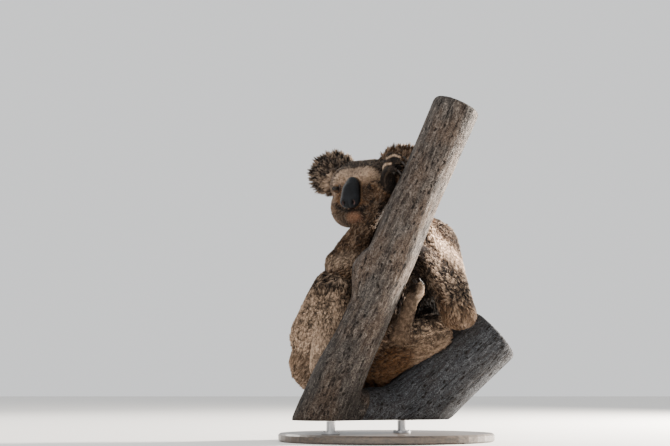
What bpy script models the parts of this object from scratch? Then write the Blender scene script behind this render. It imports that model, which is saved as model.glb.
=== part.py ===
"""A koala that sits in the fork of a gum tree and hugs its leaning limb, on a plain display stand.

Metres, +Z up. The animal faces -Y, its left side is at +X. The origin is under the middle of the
stand's base, on the surface that it stands on. Each part of the body is built from balls that are
hulled together, fused by a voxel remesh, then cut back from the parts that it meets.
"""

import math

import bmesh
import bpy
from mathutils import Matrix, Vector

# ---- driving sizes --------------------------------------------------------------------------------
GAP = 0.0005  # clearance between parts that touch
DIGIT_GAP = 0.0010  # the same beside a hand or a foot
LIMB_RADIUS = 0.045  # the leaning limb that the koala hugs
SEAT_RADIUS = 0.062  # the side limb that it sits on
PERCH_FOOT = 0.037  # height of the saw cut under the fork
BASE_SIZE = (0.390, 0.300, 0.015)
ROD_RADIUS = 0.008
ROD_FEET = ((-0.100, -0.036), (0.030, 0.030))
HEAD_CENTRE = Vector((-0.0395, -0.009, 0.4560))
HEAD_TURN = (math.radians(-3), math.radians(-2), math.radians(-21))  # nod, tilt, turn to its right
EYE_RADIUS = 0.0085
CLAW_ROOT_RADIUS = 0.0030

# ---- where the body's joints lie in this pose -----------------------------------------------------
RUMP = Vector((-0.119, 0.072, 0.144))
PELVIS = Vector((-0.058, 0.074, 0.184))
BELLY = Vector((-0.006, 0.070, 0.246))
CHEST = Vector((0.054, 0.058, 0.330))
NAPE = Vector((0.040, 0.044, 0.394))
ARMS = {
    "right": {
        "shoulder": Vector((-0.008, 0.014, 0.364)),
        "elbow": Vector((-0.0765, -0.030, 0.3235)),
        "wrist": Vector((0.0025, -0.069, 0.454)),
    },
    "left": {
        "shoulder": Vector((0.0950, 0.026, 0.362)),
        "elbow": Vector((0.1275, -0.030, 0.235)),
        "wrist": Vector((0.0640, -0.026, 0.342)),
    },
}
LEGS = {
    "right": {
        "hip": Vector((-0.1225, 0.060, 0.190)),
        "knee": Vector((-0.0990, -0.024, 0.272)),
        "ankle": Vector((-0.1200, -0.020, 0.128)),
        "heel": Vector((-0.1215, -0.011, 0.117)),
        "toes": Vector((-0.0780, -0.022, 0.192)),
        "sole": Vector((0.55, -0.80, -0.25)),  # which way the sole faces
    },
    "left": {
        "hip": Vector((-0.010, 0.062, 0.150)),
        "knee": Vector((0.0870, 0.006, 0.195)),
        "ankle": Vector((0.0260, -0.048, 0.188)),
        "heel": Vector((0.0160, -0.058, 0.184)),
        "toes": Vector((0.0490, -0.066, 0.262)),
        "sole": Vector((-0.72, -0.56, 0.36)),
    },
}

# ---- where the fork's wood runs: centre and share of the limb's radius ----------------------------
LEANING_LIMB = (
    ((-0.1290, -0.034, 0.010), 1.16),
    ((-0.1090, -0.045, 0.060), 1.12),
    ((-0.0870, -0.060, 0.112), 1.06),
    ((-0.0550, -0.075, 0.176), 0.93),
    ((-0.0265, -0.085, 0.240), 0.90),
    ((-0.0100, -0.088, 0.285), 0.96),
    ((0.0130, -0.090, 0.338), 1.00),
    ((0.0400, -0.090, 0.405), 0.98),
    ((0.0790, -0.088, 0.489), 0.95),
    ((0.1160, -0.085, 0.573), 0.98),
    ((0.1330, -0.084, 0.612), 1.00),
)
SEAT_LIMB = (
    ((-0.0900, 0.020, -0.040), 1.15),
    ((-0.0200, 0.030, 0.004), 1.10),
    ((0.0460, 0.036, 0.056), 1.02),
    ((0.1210, 0.044, 0.122), 0.98),
    ((0.2120, 0.054, 0.205), 0.96),
)


def clear_scene():
    for old in list(bpy.data.objects):
        bpy.data.objects.remove(old, do_unlink=True)


def new_collection(name):
    collection = bpy.data.collections.new(name)
    bpy.context.scene.collection.children.link(collection)
    return collection


def finish_of(name, colour, roughness, metallic=0.0):
    material = bpy.data.materials.new(name)
    material.use_nodes = True
    shader = material.node_tree.nodes["Principled BSDF"]
    shader.inputs["Base Color"].default_value = (*colour, 1.0)
    shader.inputs["Roughness"].default_value = roughness
    shader.inputs["Metallic"].default_value = metallic
    return material


def object_from(name, mesh, collection):
    made = bpy.data.objects.new(name, mesh)
    collection.objects.link(made)
    return made


def bake_modifiers(obj):
    """Replaces the object's mesh by what its modifiers make of it."""
    bpy.context.view_layer.update()
    graph = bpy.context.evaluated_depsgraph_get()
    baked = bpy.data.meshes.new_from_object(obj.evaluated_get(graph))
    obj.modifiers.clear()
    obj.data = baked


def hull_of(balls):
    """The convex hull of some balls, each (centre, radius) or (centre, (rx, ry, rz))."""
    points = bmesh.new()
    for centre, radius in balls:
        radii = (radius,) * 3 if isinstance(radius, float) else radius
        place = Matrix.Translation(centre) @ Matrix.Diagonal((*radii, 1.0))
        bmesh.ops.create_icosphere(points, subdivisions=3, radius=1.0, matrix=place)
    bm = bmesh.new()
    for vertex in points.verts:
        bm.verts.new(vertex.co)
    points.free()
    bmesh.ops.convex_hull(bm, input=bm.verts)
    loose = [v for v in bm.verts if not v.link_faces]
    bmesh.ops.delete(bm, geom=loose, context="VERTS")
    bmesh.ops.recalc_face_normals(bm, faces=bm.faces)
    return bm


def joined(cells, place=Matrix.Identity(4)):
    """One mesh that holds the hull of each cell, moved by place."""
    whole = bpy.data.meshes.new("cells")
    bm = bmesh.new()
    for balls in cells:
        part = hull_of(balls)
        part.transform(place)
        scrap = bpy.data.meshes.new("cell")
        part.to_mesh(scrap)
        part.free()
        bm.from_mesh(scrap)
        bpy.data.meshes.remove(scrap)
    bm.to_mesh(whole)
    bm.free()
    return whole


def fused(name, mesh, voxel, smoothing, collection):
    """The overlapping cells of a mesh fused into one soft surface."""
    obj = object_from(name, mesh, collection)
    remesh = obj.modifiers.new("fuse", "REMESH")
    remesh.mode = "VOXEL"
    remesh.voxel_size = voxel
    smooth = obj.modifiers.new("soften", "SMOOTH")
    smooth.factor = 0.5
    smooth.iterations = smoothing
    bake_modifiers(obj)
    return obj


def thin_out(obj, triangles):
    """Collapses the mesh to about this many triangles."""
    obj.data.calc_loop_triangles()
    decimate = obj.modifiers.new("thin", "DECIMATE")
    decimate.ratio = min(1.0, triangles / len(obj.data.loop_triangles))
    decimate.use_collapse_triangulate = True
    bake_modifiers(obj)


def grown(obj, distance):
    """A copy of the object, its surface moved out by a distance, in the cutters' collection."""
    bm = bmesh.new()
    bm.from_mesh(obj.data)
    bm.normal_update()
    for vertex in bm.verts:
        vertex.co += vertex.normal * distance * min(vertex.calc_shell_factor(), 1.6)
    mesh = bpy.data.meshes.new("grown")
    bm.to_mesh(mesh)
    bm.free()
    cutter = object_from("cutter." + obj.name, mesh, cutters)
    cutter.matrix_world = obj.matrix_world
    cutter.hide_render = True
    cutter.display_type = "WIRE"
    return cutter


def keep_largest(obj):
    """Drops the crumbs that a cut may leave, so that one body remains."""
    bm = bmesh.new()
    bm.from_mesh(obj.data)
    unseen = set(bm.verts)
    islands = []
    while unseen:
        stack = [unseen.pop()]
        island = list(stack)
        while stack:
            for edge in stack.pop().link_edges:
                for vertex in edge.verts:
                    if vertex in unseen:
                        unseen.discard(vertex)
                        stack.append(vertex)
                        island.append(vertex)
        islands.append(island)
    islands.sort(key=len)
    for crumbs in islands[:-1]:
        bmesh.ops.delete(bm, geom=crumbs, context="VERTS")
    bm.to_mesh(obj.data)
    bm.free()


def subtract(obj, cutter):
    boolean = obj.modifiers.new("cut", "BOOLEAN")
    boolean.operation = "DIFFERENCE"
    boolean.object = cutter
    boolean.use_self = cutter.name.startswith(("cutter.hand", "cutter.foot"))  # fingers may cross
    bake_modifiers(obj)
    bpy.data.objects.remove(cutter, do_unlink=True)


def corners(obj):
    points = [obj.matrix_world @ v.co for v in obj.data.vertices]
    low = Vector(min(p[k] for p in points) for k in range(3))
    high = Vector(max(p[k] for p in points) for k in range(3))
    return low, high


def touches(one, other):
    (low_a, high_a), (low_b, high_b) = corners(one), corners(other)
    margin = 2 * GAP
    return all(low_a[k] - margin < high_b[k] and low_b[k] - margin < high_a[k] for k in range(3))


def place_part(obj, neighbours, material, most=None):
    """Cuts the part back from those placed before it, then thins it to the most triangles it may have."""
    for other in neighbours:
        if touches(obj, other):
            digits = other.name.startswith(("hand", "foot"))
            subtract(obj, grown(other, DIGIT_GAP if digits else GAP))
    keep_largest(obj)
    if most:
        thin_out(obj, most)
    low, high = corners(obj)
    middle = (low + high) / 2
    obj.data.transform(Matrix.Translation(-middle))
    obj.location = middle
    obj.data.materials.clear()
    obj.data.materials.append(material)
    obj.data.shade_smooth()
    neighbours.append(obj)
    return obj


# ---- the wood and its stand -----------------------------------------------------------------------
def wood_tube(route, radius):
    """A closed tube that follows a limb's route, as a mesh."""
    curve = bpy.data.curves.new("limb", "CURVE")
    curve.dimensions = "3D"
    curve.bevel_depth = radius
    curve.bevel_resolution = 5
    curve.resolution_u = 6
    curve.use_fill_caps = True
    spline = curve.splines.new("BEZIER")
    spline.bezier_points.add(len(route) - 1)
    for point, (centre, scale) in zip(spline.bezier_points, route):
        point.co = centre
        point.radius = scale
        point.handle_left_type = point.handle_right_type = "AUTO"
    holder = object_from("limb", curve, cutters)
    bpy.context.view_layer.update()
    graph = bpy.context.evaluated_depsgraph_get()
    mesh = bpy.data.meshes.new_from_object(holder.evaluated_get(graph))
    bpy.data.objects.remove(holder, do_unlink=True)
    bm = bmesh.new()
    bm.from_mesh(mesh)
    bmesh.ops.remove_doubles(bm, verts=bm.verts, dist=0.0001)
    bm.to_mesh(mesh)
    bm.free()
    return mesh


def saw(obj, point, along, reach):
    """A flat saw cut: it removes what lies within reach beyond the point."""
    bm = bmesh.new()
    turn = along.to_track_quat("Z", "Y").to_matrix().to_4x4()
    place = Matrix.Translation(point + along * reach / 2) @ turn
    bmesh.ops.create_cone(
        bm, cap_ends=True, segments=24, radius1=reach, radius2=reach, depth=reach, matrix=place
    )
    mesh = bpy.data.meshes.new("saw")
    bm.to_mesh(mesh)
    bm.free()
    blade = object_from("cutter.saw", mesh, cutters)
    blade.hide_render = True
    subtract(obj, blade)


def build_perch(placed):
    """The fork: a leaning limb and a side limb, each sawn off square, and one level cut underneath."""
    bm = bmesh.new()
    bm.from_mesh(wood_tube(LEANING_LIMB, LIMB_RADIUS))
    bm.from_mesh(wood_tube(SEAT_LIMB, SEAT_RADIUS))
    swellings = (
        ((Vector((-0.094, 0.054, 0.034)), 0.056), (Vector((-0.085, -0.020, 0.030)), 0.055)),  # crotch
        ((Vector((-0.060, -0.012, 0.050)), 0.045), (Vector((-0.004, 0.016, 0.047)), 0.052)),
        (  # the bark's lip
            (Vector((-0.0370, -0.089, 0.264)), 0.0270),
            (Vector((-0.0345, -0.090, 0.303)), 0.0300),
            (Vector((-0.0270, -0.091, 0.313)), 0.0290),
        ),
    )
    scrap = joined(swellings)
    bm.from_mesh(scrap)
    mesh = bpy.data.meshes.new("perch")
    bm.to_mesh(mesh)
    bm.free()
    perch = fused("perch_fork", mesh, 0.005, 5, parts)
    thin_out(perch, 640)
    for route in (LEANING_LIMB, SEAT_LIMB):
        end, before = Vector(route[-1][0]), Vector(route[-2][0])
        along = (end - before).normalized()
        saw(perch, end - along * 0.012, along, 0.090)
    saw(perch, Vector((-0.04, 0, PERCH_FOOT)), Vector((0, 0, -1)), 0.300)
    return place_part(perch, placed, bark)


def build_stand(placed):
    """An oval base plate with an eased edge, and two rods up to the perch."""
    width, depth, thickness = BASE_SIZE
    bm = bmesh.new()
    bmesh.ops.create_cone(bm, cap_ends=True, segments=48, radius1=0.5, radius2=0.5, depth=thickness)
    bmesh.ops.scale(bm, vec=(width, depth, 1.0), verts=bm.verts)
    bmesh.ops.translate(bm, vec=(0, 0, thickness / 2), verts=bm.verts)
    mesh = bpy.data.meshes.new("base")
    bm.to_mesh(mesh)
    bm.free()
    base = object_from("stand_base", mesh, parts)
    ease = base.modifiers.new("ease", "BEVEL")
    ease.width = 0.003
    ease.segments = 1
    ease.limit_method = "ANGLE"
    ease.angle_limit = math.radians(50)
    bake_modifiers(base)
    place_part(base, placed, plinth)
    bottom, top = thickness + GAP, PERCH_FOOT - GAP
    for number, (x, y) in enumerate(ROD_FEET, 1):
        bm = bmesh.new()
        bmesh.ops.create_cone(
            bm, cap_ends=True, segments=16, radius1=ROD_RADIUS, radius2=ROD_RADIUS, depth=top - bottom
        )
        bmesh.ops.translate(bm, vec=(x, y, (top + bottom) / 2), verts=bm.verts)
        mesh = bpy.data.meshes.new("rod")
        bm.to_mesh(mesh)
        bm.free()
        place_part(object_from(f"stand_rod_{number}", mesh, parts), placed, steel)


# ---- the head -------------------------------------------------------------------------------------
def head_frame():
    """The head's own frame: x to its left, -y the way it faces, z up, origin amid the skull."""
    nod, tilt, turn = HEAD_TURN
    spin = Matrix.Rotation(turn, 4, "Z") @ Matrix.Rotation(nod, 4, "X") @ Matrix.Rotation(tilt, 4, "Y")
    return Matrix.Translation(HEAD_CENTRE) @ spin


def mirrored(balls):
    """The same balls on the other side of the head."""
    return tuple((Vector((-c.x, c.y, c.z)), r) for c, r in balls)


def build_face(placed):
    frame = head_frame()
    eye = Vector((0.0335, -0.0465, -0.002))
    for side, across in (("left", 1), ("right", -1)):
        ball = joined([((Vector((eye.x * across, eye.y, eye.z)), EYE_RADIUS),)], frame)
        eyeball = object_from("eye_" + side, ball, parts)
        thin_out(eyeball, 110)
        place_part(eyeball, placed, eye_dark)

    nose_cells = (
        (
            (Vector((-0.0015, -0.0570, 0.0015)), 0.0138),
            (Vector((-0.0015, -0.0660, -0.0120)), 0.0162),
            (Vector((0.0030, -0.0700, -0.0335)), 0.0124),
            (Vector((-0.0060, -0.0700, -0.0335)), 0.0124),
        ),
    )
    nose = fused("nose", joined(nose_cells, frame), 0.0022, 3, parts)
    thin_out(nose, 200)
    place_part(nose, placed, nose_leather)

    cheek = (
        (Vector((0.0300, 0.0020, -0.0290)), (0.0345, 0.0420, 0.0375)),
        (Vector((0.0240, -0.0280, -0.0300)), (0.0270, 0.0250, 0.0300)),
    )
    brow = ((Vector((0.0270, -0.0270, 0.0200)), 0.0230), (Vector((0.0340, -0.0080, 0.0120)), 0.0290))
    crown = ((Vector((0.0200, 0.0140, 0.0130)), (0.0430, 0.0480, 0.0490)),)
    head_cells = (
        (*crown, *mirrored(crown), (Vector((0, 0.0100, -0.0060)), (0.0600, 0.0500, 0.0440))),
        cheek,
        mirrored(cheek),
        brow,
        mirrored(brow),
        (  # the muzzle, deep and blunt
            (Vector((0, -0.0300, 0.0060)), (0.0300, 0.0250, 0.0270)),
            (Vector((0, -0.0540, -0.0240)), (0.0220, 0.0170, 0.0240)),
            (Vector((0, -0.0300, -0.0300)), (0.0330, 0.0250, 0.0260)),
        ),
    )
    head = fused("head", joined(head_cells, frame), 0.0035, 7, parts)
    thin_out(head, 820)
    for across in (1, -1):
        hollow = joined([((Vector((0.0390 * across, -0.0600, -0.0020)), 0.0165),)], frame)
        hollow_obj = object_from("cutter.eye", hollow, cutters)
        hollow_obj.hide_render = True
        thin_out(hollow_obj, 100)
        subtract(head, hollow_obj)
    place_part(head, placed, fur, 1000)

    jaw_cells = (
        (
            (Vector((0, -0.0080, -0.0480)), 0.0230),
            (Vector((0.0060, -0.0470, -0.0560)), 0.0145),
            (Vector((-0.0080, -0.0470, -0.0560)), 0.0145),
        ),
    )
    jaw = fused("jaw", joined(jaw_cells, frame), 0.0030, 3, parts)
    thin_out(jaw, 160)
    place_part(jaw, placed, chin_skin, 200)

    for side, across in (("left", 1), ("right", -1)):
        build_ear(side, across, frame, placed)


def build_ear(side, across, frame, placed):
    """A round ear with its long fur: a thick dish, hollow in front, turned a little outwards."""
    reach = 0.0790 if side == "left" else 0.0745
    middle = Vector((reach * across, 0.0080, 0.0430))
    lean = Matrix.Rotation(math.radians(8 * across), 4, "Z") @ Matrix.Rotation(math.radians(-8), 4, "X")
    place = frame @ Matrix.Translation(middle) @ lean
    root = Vector((-0.0250 * across, 0.0030, -0.0160))
    dish = (
        (
            (Vector((0, 0, 0)), (0.0420, 0.0135, 0.0440)),
            (Vector((-0.0150 * across, 0.0010, 0.0110)), (0.0320, 0.0125, 0.0350)),
            (Vector((0.0080 * across, 0.0010, 0.0060)), (0.0370, 0.0125, 0.0390)),
        ),
        ((root, 0.0170), (root + Vector((-0.0120 * across, 0.0020, -0.0050)), 0.0200)),
    )
    ear = fused("ear_" + side, joined(dish, place), 0.0030, 3, parts)
    thin_out(ear, 240)
    hollow = joined([((Vector((0.0020 * across, -0.0215, 0)), (0.0310, 0.0180, 0.0330)),)], place)
    hollow_obj = object_from("cutter.ear", hollow, cutters)
    hollow_obj.hide_render = True
    thin_out(hollow_obj, 120)
    subtract(ear, hollow_obj)
    place_part(ear, placed, fur, 300)


# ---- the body -------------------------------------------------------------------------------------
def build_trunk(placed):
    cells = (
        ((RUMP, 0.0620), (PELVIS, 0.0820), (Vector((-0.018, 0.078, 0.172)), 0.0720)),
        ((PELVIS, 0.0810), (BELLY, 0.0850)),
        ((BELLY, 0.0850), (CHEST, 0.0820), (CHEST + Vector((0.016, 0.004, 0.016)), 0.0770)),
        ((BELLY, 0.0800), (Vector((0.0730, 0.062, 0.234)), 0.0450), (Vector((-0.010, 0.076, 0.190)), 0.0700)),  # flank
    )
    trunk = fused("trunk", joined(cells), 0.006, 8, parts)
    thin_out(trunk, 420)
    place_part(trunk, placed, fur, 500)
    throat = HEAD_CENTRE + Vector((0.020, 0.028, -0.020))
    neck = fused("neck", joined([((NAPE, 0.0555), (throat, 0.0500))]), 0.005, 4, parts)
    thin_out(neck, 160)
    place_part(neck, placed, fur, 300)


def build_arm(side, placed):
    shoulder, elbow, wrist = (ARMS[side][k] for k in ("shoulder", "elbow", "wrist"))
    half = shoulder.lerp(elbow, 0.5)
    back_of_elbow = elbow + (elbow - wrist).normalized() * 0.006
    upper = [((shoulder, 0.0440), (half, 0.0380)), ((half, 0.0380), (back_of_elbow, 0.0330))]
    upper_arm = fused("upper_arm_" + side, joined(upper), 0.0045, 5, parts)
    thin_out(upper_arm, 240)
    place_part(upper_arm, placed, fur, 270)
    start, middle = elbow.lerp(wrist, 0.09), elbow.lerp(wrist, 0.52)
    lower = [((start, 0.0290), (middle, 0.0205)), ((middle, 0.0205), (wrist, 0.0160))]
    if side == "left":
        aside = Vector((0.0070, 0.0, -0.0020))
        lower = [((start + aside, 0.0265), (middle + aside, 0.0238)), ((middle + aside, 0.0238), (wrist, 0.0175))]
    forearm = fused("forearm_" + side, joined(lower), 0.0045, 4, parts)
    thin_out(forearm, 220)
    place_part(forearm, placed, fur, 300)


def build_leg(side, placed):
    hip, knee, ankle = (LEGS[side][k] for k in ("hip", "knee", "ankle"))
    upper = [((hip, 0.0570), (hip.lerp(knee, 0.5), 0.0480)), ((hip.lerp(knee, 0.5), 0.0480), (knee, 0.0375))]
    thigh = fused("thigh_" + side, joined(upper), 0.005, 6, parts)
    thin_out(thigh, 270)
    place_part(thigh, placed, fur, 320)
    start, middle = knee.lerp(ankle, 0.10), knee.lerp(ankle, 0.5)
    lower = [((start, 0.0325), (middle, 0.0282)), ((middle, 0.0282), (ankle, 0.0200))]
    if side == "right":  # its long hair fills the space beside the limb
        start, middle = start + Vector((0.0040, 0.0040, 0.0)), middle + Vector((0.0080, 0.0100, 0.0))
        lower = [((start, 0.0335), (middle, 0.0320)), ((middle, 0.0320), (ankle, 0.0215))]
    shank = fused("shank_" + side, joined(lower), 0.0045, 5, parts)
    thin_out(shank, 220)
    place_part(shank, placed, fur, 380)


# ---- hands, feet and claws ------------------------------------------------------------------------
def hand_digits(side):
    """Each digit of a hand as root, knuckle and tip, then the claw's tip: two thumbs, three fingers."""
    if side == "right":
        return (
            ("thumb_1", (0.006, -0.066, 0.478), (0.016, -0.050, 0.486), (0.030, -0.043, 0.482), (0.046, -0.041, 0.474)),
            ("thumb_2", (0.005, -0.070, 0.492), (0.017, -0.051, 0.502), (0.034, -0.043, 0.501), (0.051, -0.041, 0.495)),
            ("finger_3", (-0.001, -0.086, 0.492), (0.004, -0.095, 0.5075), (0.0235, -0.103, 0.503), (0.038, -0.110, 0.488)),
            ("finger_4", (-0.001, -0.090, 0.484), (0.005, -0.102, 0.4945), (0.0210, -0.112, 0.4915), (0.036, -0.1205, 0.4745)),
            ("finger_5", (-0.001, -0.090, 0.474), (0.004, -0.104, 0.4800), (0.0145, -0.115, 0.4760), (0.027, -0.1225, 0.4610)),
        )
    return (
        ("thumb_1", (0.058, -0.034, 0.352), (0.062, -0.038, 0.366), (0.0560, -0.0400, 0.379), (0.050, -0.0440, 0.392)),
        ("thumb_2", (0.052, -0.030, 0.358), (0.054, -0.031, 0.373), (0.0470, -0.0340, 0.386), (0.040, -0.0390, 0.398)),
        ("finger_3", (0.042, -0.026, 0.362), (0.041, -0.025, 0.377), (0.0310, -0.0290, 0.388), (0.021, -0.0360, 0.396)),
        ("finger_4", (0.036, -0.026, 0.356), (0.030, -0.025, 0.369), (0.0180, -0.0300, 0.377), (0.007, -0.0370, 0.383)),
        ("finger_5", (0.034, -0.028, 0.348), (0.024, -0.027, 0.357), (0.0110, -0.0330, 0.363), (0.000, -0.0410, 0.367)),
    )


def foot_digits(side):
    """Each toe of a foot: the clawless big toe, the two joined grooming toes, and the two long toes."""
    leg = LEGS[side]
    along = (leg["toes"] - leg["heel"]).normalized()
    sole = (leg["sole"] - along * leg["sole"].dot(along)).normalized()
    across = along.cross(sole)
    ball = leg["toes"] - along * 0.010
    toes = []
    for name, sideways, reach, curl in (
        ("toe_2", -0.0105, 0.022, 0.004),
        ("toe_3", -0.0045, 0.024, 0.004),
        ("toe_4", 0.0040, 0.029, 0.004),
        ("toe_5", 0.0125, 0.026, 0.004),
    ):
        root = ball + across * sideways * 0.8
        knuckle = root + along * reach * 0.5 + across * sideways * 0.2 - sole * curl
        tip = root + along * reach + across * sideways * 0.3
        toes.append((name, root, knuckle, tip, tip + along * 0.011 + sole * 0.010))
    heel = leg["heel"] + along * 0.022
    return toes, (heel - across * 0.010, heel - across * 0.027 + along * 0.010 + sole * 0.003)


def claw_mesh(root, tip, hook):
    """A curved claw, deeper than wide, that tapers to its point and bends towards the hook."""
    steps, sides = 4, 6
    length = (tip - root).length
    side = hook.cross(tip - root).normalized()
    bm = bmesh.new()
    rings = []
    for number in range(steps):
        share = number / steps
        middle = root.lerp(tip, share) - hook * math.sin(share * math.pi) * length * 0.22
        radius = CLAW_ROOT_RADIUS * (1.0 - 0.8 * share**1.3)
        turns = (2 * math.pi * k / sides for k in range(sides))
        rings.append(
            [bm.verts.new(middle + (side * math.cos(a) * 0.8 + hook * math.sin(a)) * radius) for a in turns]
        )
    point = bm.verts.new(tip)
    bm.faces.new(rings[0])
    for low, high in zip(rings, rings[1:]):
        for k in range(sides):
            bm.faces.new((low[k], low[k - 1], high[k - 1], high[k]))
    for k in range(sides):
        bm.faces.new((rings[-1][k], rings[-1][k - 1], point))
    bmesh.ops.recalc_face_normals(bm, faces=bm.faces)
    mesh = bpy.data.meshes.new("claw")
    bm.to_mesh(mesh)
    bm.free()
    return mesh


def add_claw(name, knuckle, tip, point, placed):
    """A claw rooted inside the digit's tip, hooked the way the digit bends."""
    reach = (tip - knuckle).normalized()
    root = tip - reach * 0.003
    hook = (point - root) - reach * (point - root).dot(reach)
    hook = hook.normalized() if hook.length > 1e-5 else Vector((0, 0, -1))
    claw = object_from(name, claw_mesh(root, point, hook), parts)
    place_part(claw, placed, horn)


def build_hand(side, placed):
    wrist = ARMS[side]["wrist"]
    digits = [(name, *(Vector(p) for p in points)) for name, *points in hand_digits(side)]
    heel_of_hand = wrist.lerp(sum((d[1] for d in digits), Vector()) / len(digits), 0.45)
    cells = [((wrist, 0.0160), (heel_of_hand, 0.0150))]
    for name, root, knuckle, tip, point in digits:
        cells.append(((heel_of_hand, 0.0120), (root, 0.0075)))
        cells.append(((root, 0.0075), (knuckle, 0.0066)))
        cells.append(((knuckle, 0.0066), (tip, 0.0055)))
    hand = fused("hand_" + side, joined(cells), 0.0022, 2, parts)
    thin_out(hand, 420)
    place_part(hand, placed, fur)
    for name, root, knuckle, tip, point in digits:
        add_claw(f"claw_hand_{side}_{name}", knuckle, tip, point, placed)


def build_foot(side, placed):
    leg = LEGS[side]
    toes, (thumb_root, thumb_tip) = foot_digits(side)
    heel, ball = leg["heel"], leg["toes"] - (leg["toes"] - leg["heel"]).normalized() * 0.012
    cells = [
        ((leg["ankle"], 0.0170), (heel, 0.0130)),
        ((leg["ankle"], 0.0155), (heel, 0.0130), (ball, 0.0122)),
        ((thumb_root, 0.0100), (thumb_tip, 0.0070)),
    ]
    for name, root, knuckle, tip, point in toes:
        cells.append(((heel.lerp(ball, 0.5), 0.0110), (root, 0.0075)))
        cells.append(((root, 0.0078), (knuckle, 0.0068)))
        cells.append(((knuckle, 0.0068), (tip, 0.0054)))
    foot = fused("foot_" + side, joined(cells), 0.0022, 2, parts)
    thin_out(foot, 380)
    place_part(foot, placed, fur)
    for name, root, knuckle, tip, point in toes:
        add_claw(f"claw_foot_{side}_{name}", knuckle, tip, point, placed)


clear_scene()
parts = new_collection("koala_in_fork")
cutters = new_collection("cutters")
cutters.hide_render = True
fur = finish_of("grey brown fur", (0.30, 0.24, 0.19), 0.90)
chin_skin = finish_of("pale chin", (0.52, 0.40, 0.33), 0.75)
nose_leather = finish_of("nose leather", (0.05, 0.055, 0.065), 0.50)
eye_dark = finish_of("dark eye", (0.03, 0.02, 0.015), 0.12)
horn = finish_of("claw horn", (0.06, 0.05, 0.045), 0.35)
bark = finish_of("gum bark", (0.27, 0.24, 0.22), 0.85)
plinth = finish_of("stand board", (0.16, 0.15, 0.14), 0.50)
steel = finish_of("stand rod", (0.45, 0.45, 0.46), 0.35, 1.0)

done = []  # parts placed so far, each cut back from those before it
build_perch(done)
build_stand(done)
build_face(done)
for body_side in ("right", "left"):
    build_hand(body_side, done)
    build_foot(body_side, done)
build_trunk(done)
for body_side in ("right", "left"):
    build_leg(body_side, done)
    build_arm(body_side, done)
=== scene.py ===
import math
import bmesh
import bpy
import numpy as np
from mathutils import Matrix, Vector
from mathutils.bvhtree import BVHTree
from mathutils.kdtree import KDTree


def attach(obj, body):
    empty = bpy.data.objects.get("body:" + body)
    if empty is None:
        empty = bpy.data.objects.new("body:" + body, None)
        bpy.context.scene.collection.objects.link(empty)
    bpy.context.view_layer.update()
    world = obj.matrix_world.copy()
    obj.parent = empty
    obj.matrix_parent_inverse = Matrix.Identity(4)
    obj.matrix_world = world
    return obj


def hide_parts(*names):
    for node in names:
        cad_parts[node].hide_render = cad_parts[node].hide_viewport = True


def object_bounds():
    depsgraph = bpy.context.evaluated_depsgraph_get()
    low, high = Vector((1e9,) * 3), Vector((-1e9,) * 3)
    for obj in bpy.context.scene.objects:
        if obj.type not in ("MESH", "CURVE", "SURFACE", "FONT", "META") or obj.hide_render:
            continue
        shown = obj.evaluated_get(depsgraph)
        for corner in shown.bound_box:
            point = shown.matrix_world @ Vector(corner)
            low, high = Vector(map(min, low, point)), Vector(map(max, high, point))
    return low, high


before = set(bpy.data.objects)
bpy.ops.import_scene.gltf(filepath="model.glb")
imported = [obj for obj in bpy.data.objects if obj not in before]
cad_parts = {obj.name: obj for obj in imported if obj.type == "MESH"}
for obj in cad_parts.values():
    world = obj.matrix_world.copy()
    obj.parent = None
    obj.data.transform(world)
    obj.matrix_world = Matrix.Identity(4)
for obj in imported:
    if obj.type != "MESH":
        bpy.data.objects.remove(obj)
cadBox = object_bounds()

# where the animal's joints lie, in metres: it faces -Y and its left side is at +X
pose = {
    "headCentre": (-0.0395, -0.009, 0.4560),
    "headTurn": (-3, -2, -21),
    "rump": (-0.119, 0.072, 0.144),
    "pelvis": (-0.058, 0.074, 0.184),
    "belly": (-0.006, 0.070, 0.246),
    "chest": (0.054, 0.058, 0.330),
    "nape": (0.040, 0.044, 0.394),
    "armRight": ((-0.008, 0.014, 0.364), (-0.0765, -0.030, 0.3235), (0.0025, -0.069, 0.454), (0.022, -0.078, 0.500)),
    "armLeft": ((0.095, 0.026, 0.362), (0.1275, -0.030, 0.235), (0.064, -0.026, 0.342), (0.045, -0.040, 0.385)),
    "legRight": ((-0.1225, 0.060, 0.190), (-0.099, -0.024, 0.272), (-0.120, -0.020, 0.128), (-0.078, -0.022, 0.192)),
    "legLeft": ((-0.010, 0.062, 0.150), (0.087, 0.006, 0.195), (0.026, -0.048, 0.188), (0.049, -0.066, 0.262)),
}
limbParts = ("upper_arm", "forearm", "hand", "thigh", "shank", "foot")
fleshParts = ["head", "jaw", "ear_left", "ear_right", "neck", "trunk"]
fleshParts += [part + side for side in ("_left", "_right") for part in limbParts]


def partKind(part):
    return part.rsplit("_", 1)[0] if part.endswith(("_left", "_right")) else part


fleshKinds = np.array([partKind(part) for part in fleshParts])
leftParts = np.array([part.endswith("left") for part in fleshParts])


def headFrame():
    nod, tilt, turn = (math.radians(a) for a in pose["headTurn"])
    spin = Matrix.Rotation(turn, 4, "Z") @ Matrix.Rotation(nod, 4, "X") @ Matrix.Rotation(tilt, 4, "Y")
    return Matrix.Translation(pose["headCentre"]) @ spin


headToWorld = headFrame()
worldToHead = headToWorld.inverted()
headSpin = np.array(headToWorld.to_3x3())

# small tools

def placed(points, matrix):
    m = np.array(matrix)
    return points @ m[:3, :3].T + m[:3, 3]


def unit(v):
    return v / np.maximum(np.linalg.norm(v, axis=-1, keepdims=True), 1e-9)


def flattened(v, normal):
    # what is left of v along a surface with this normal
    return v - normal * np.sum(v * normal, axis=1)[:, None]


def readOut(items, key, width, kind=np.float32):
    values = np.empty(len(items) * width, kind)
    items.foreach_get(key, values)
    return values.reshape(-1, width)


def pointsOf(mesh):
    return readOut(mesh.vertices, "co", 3).astype(float)


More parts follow.
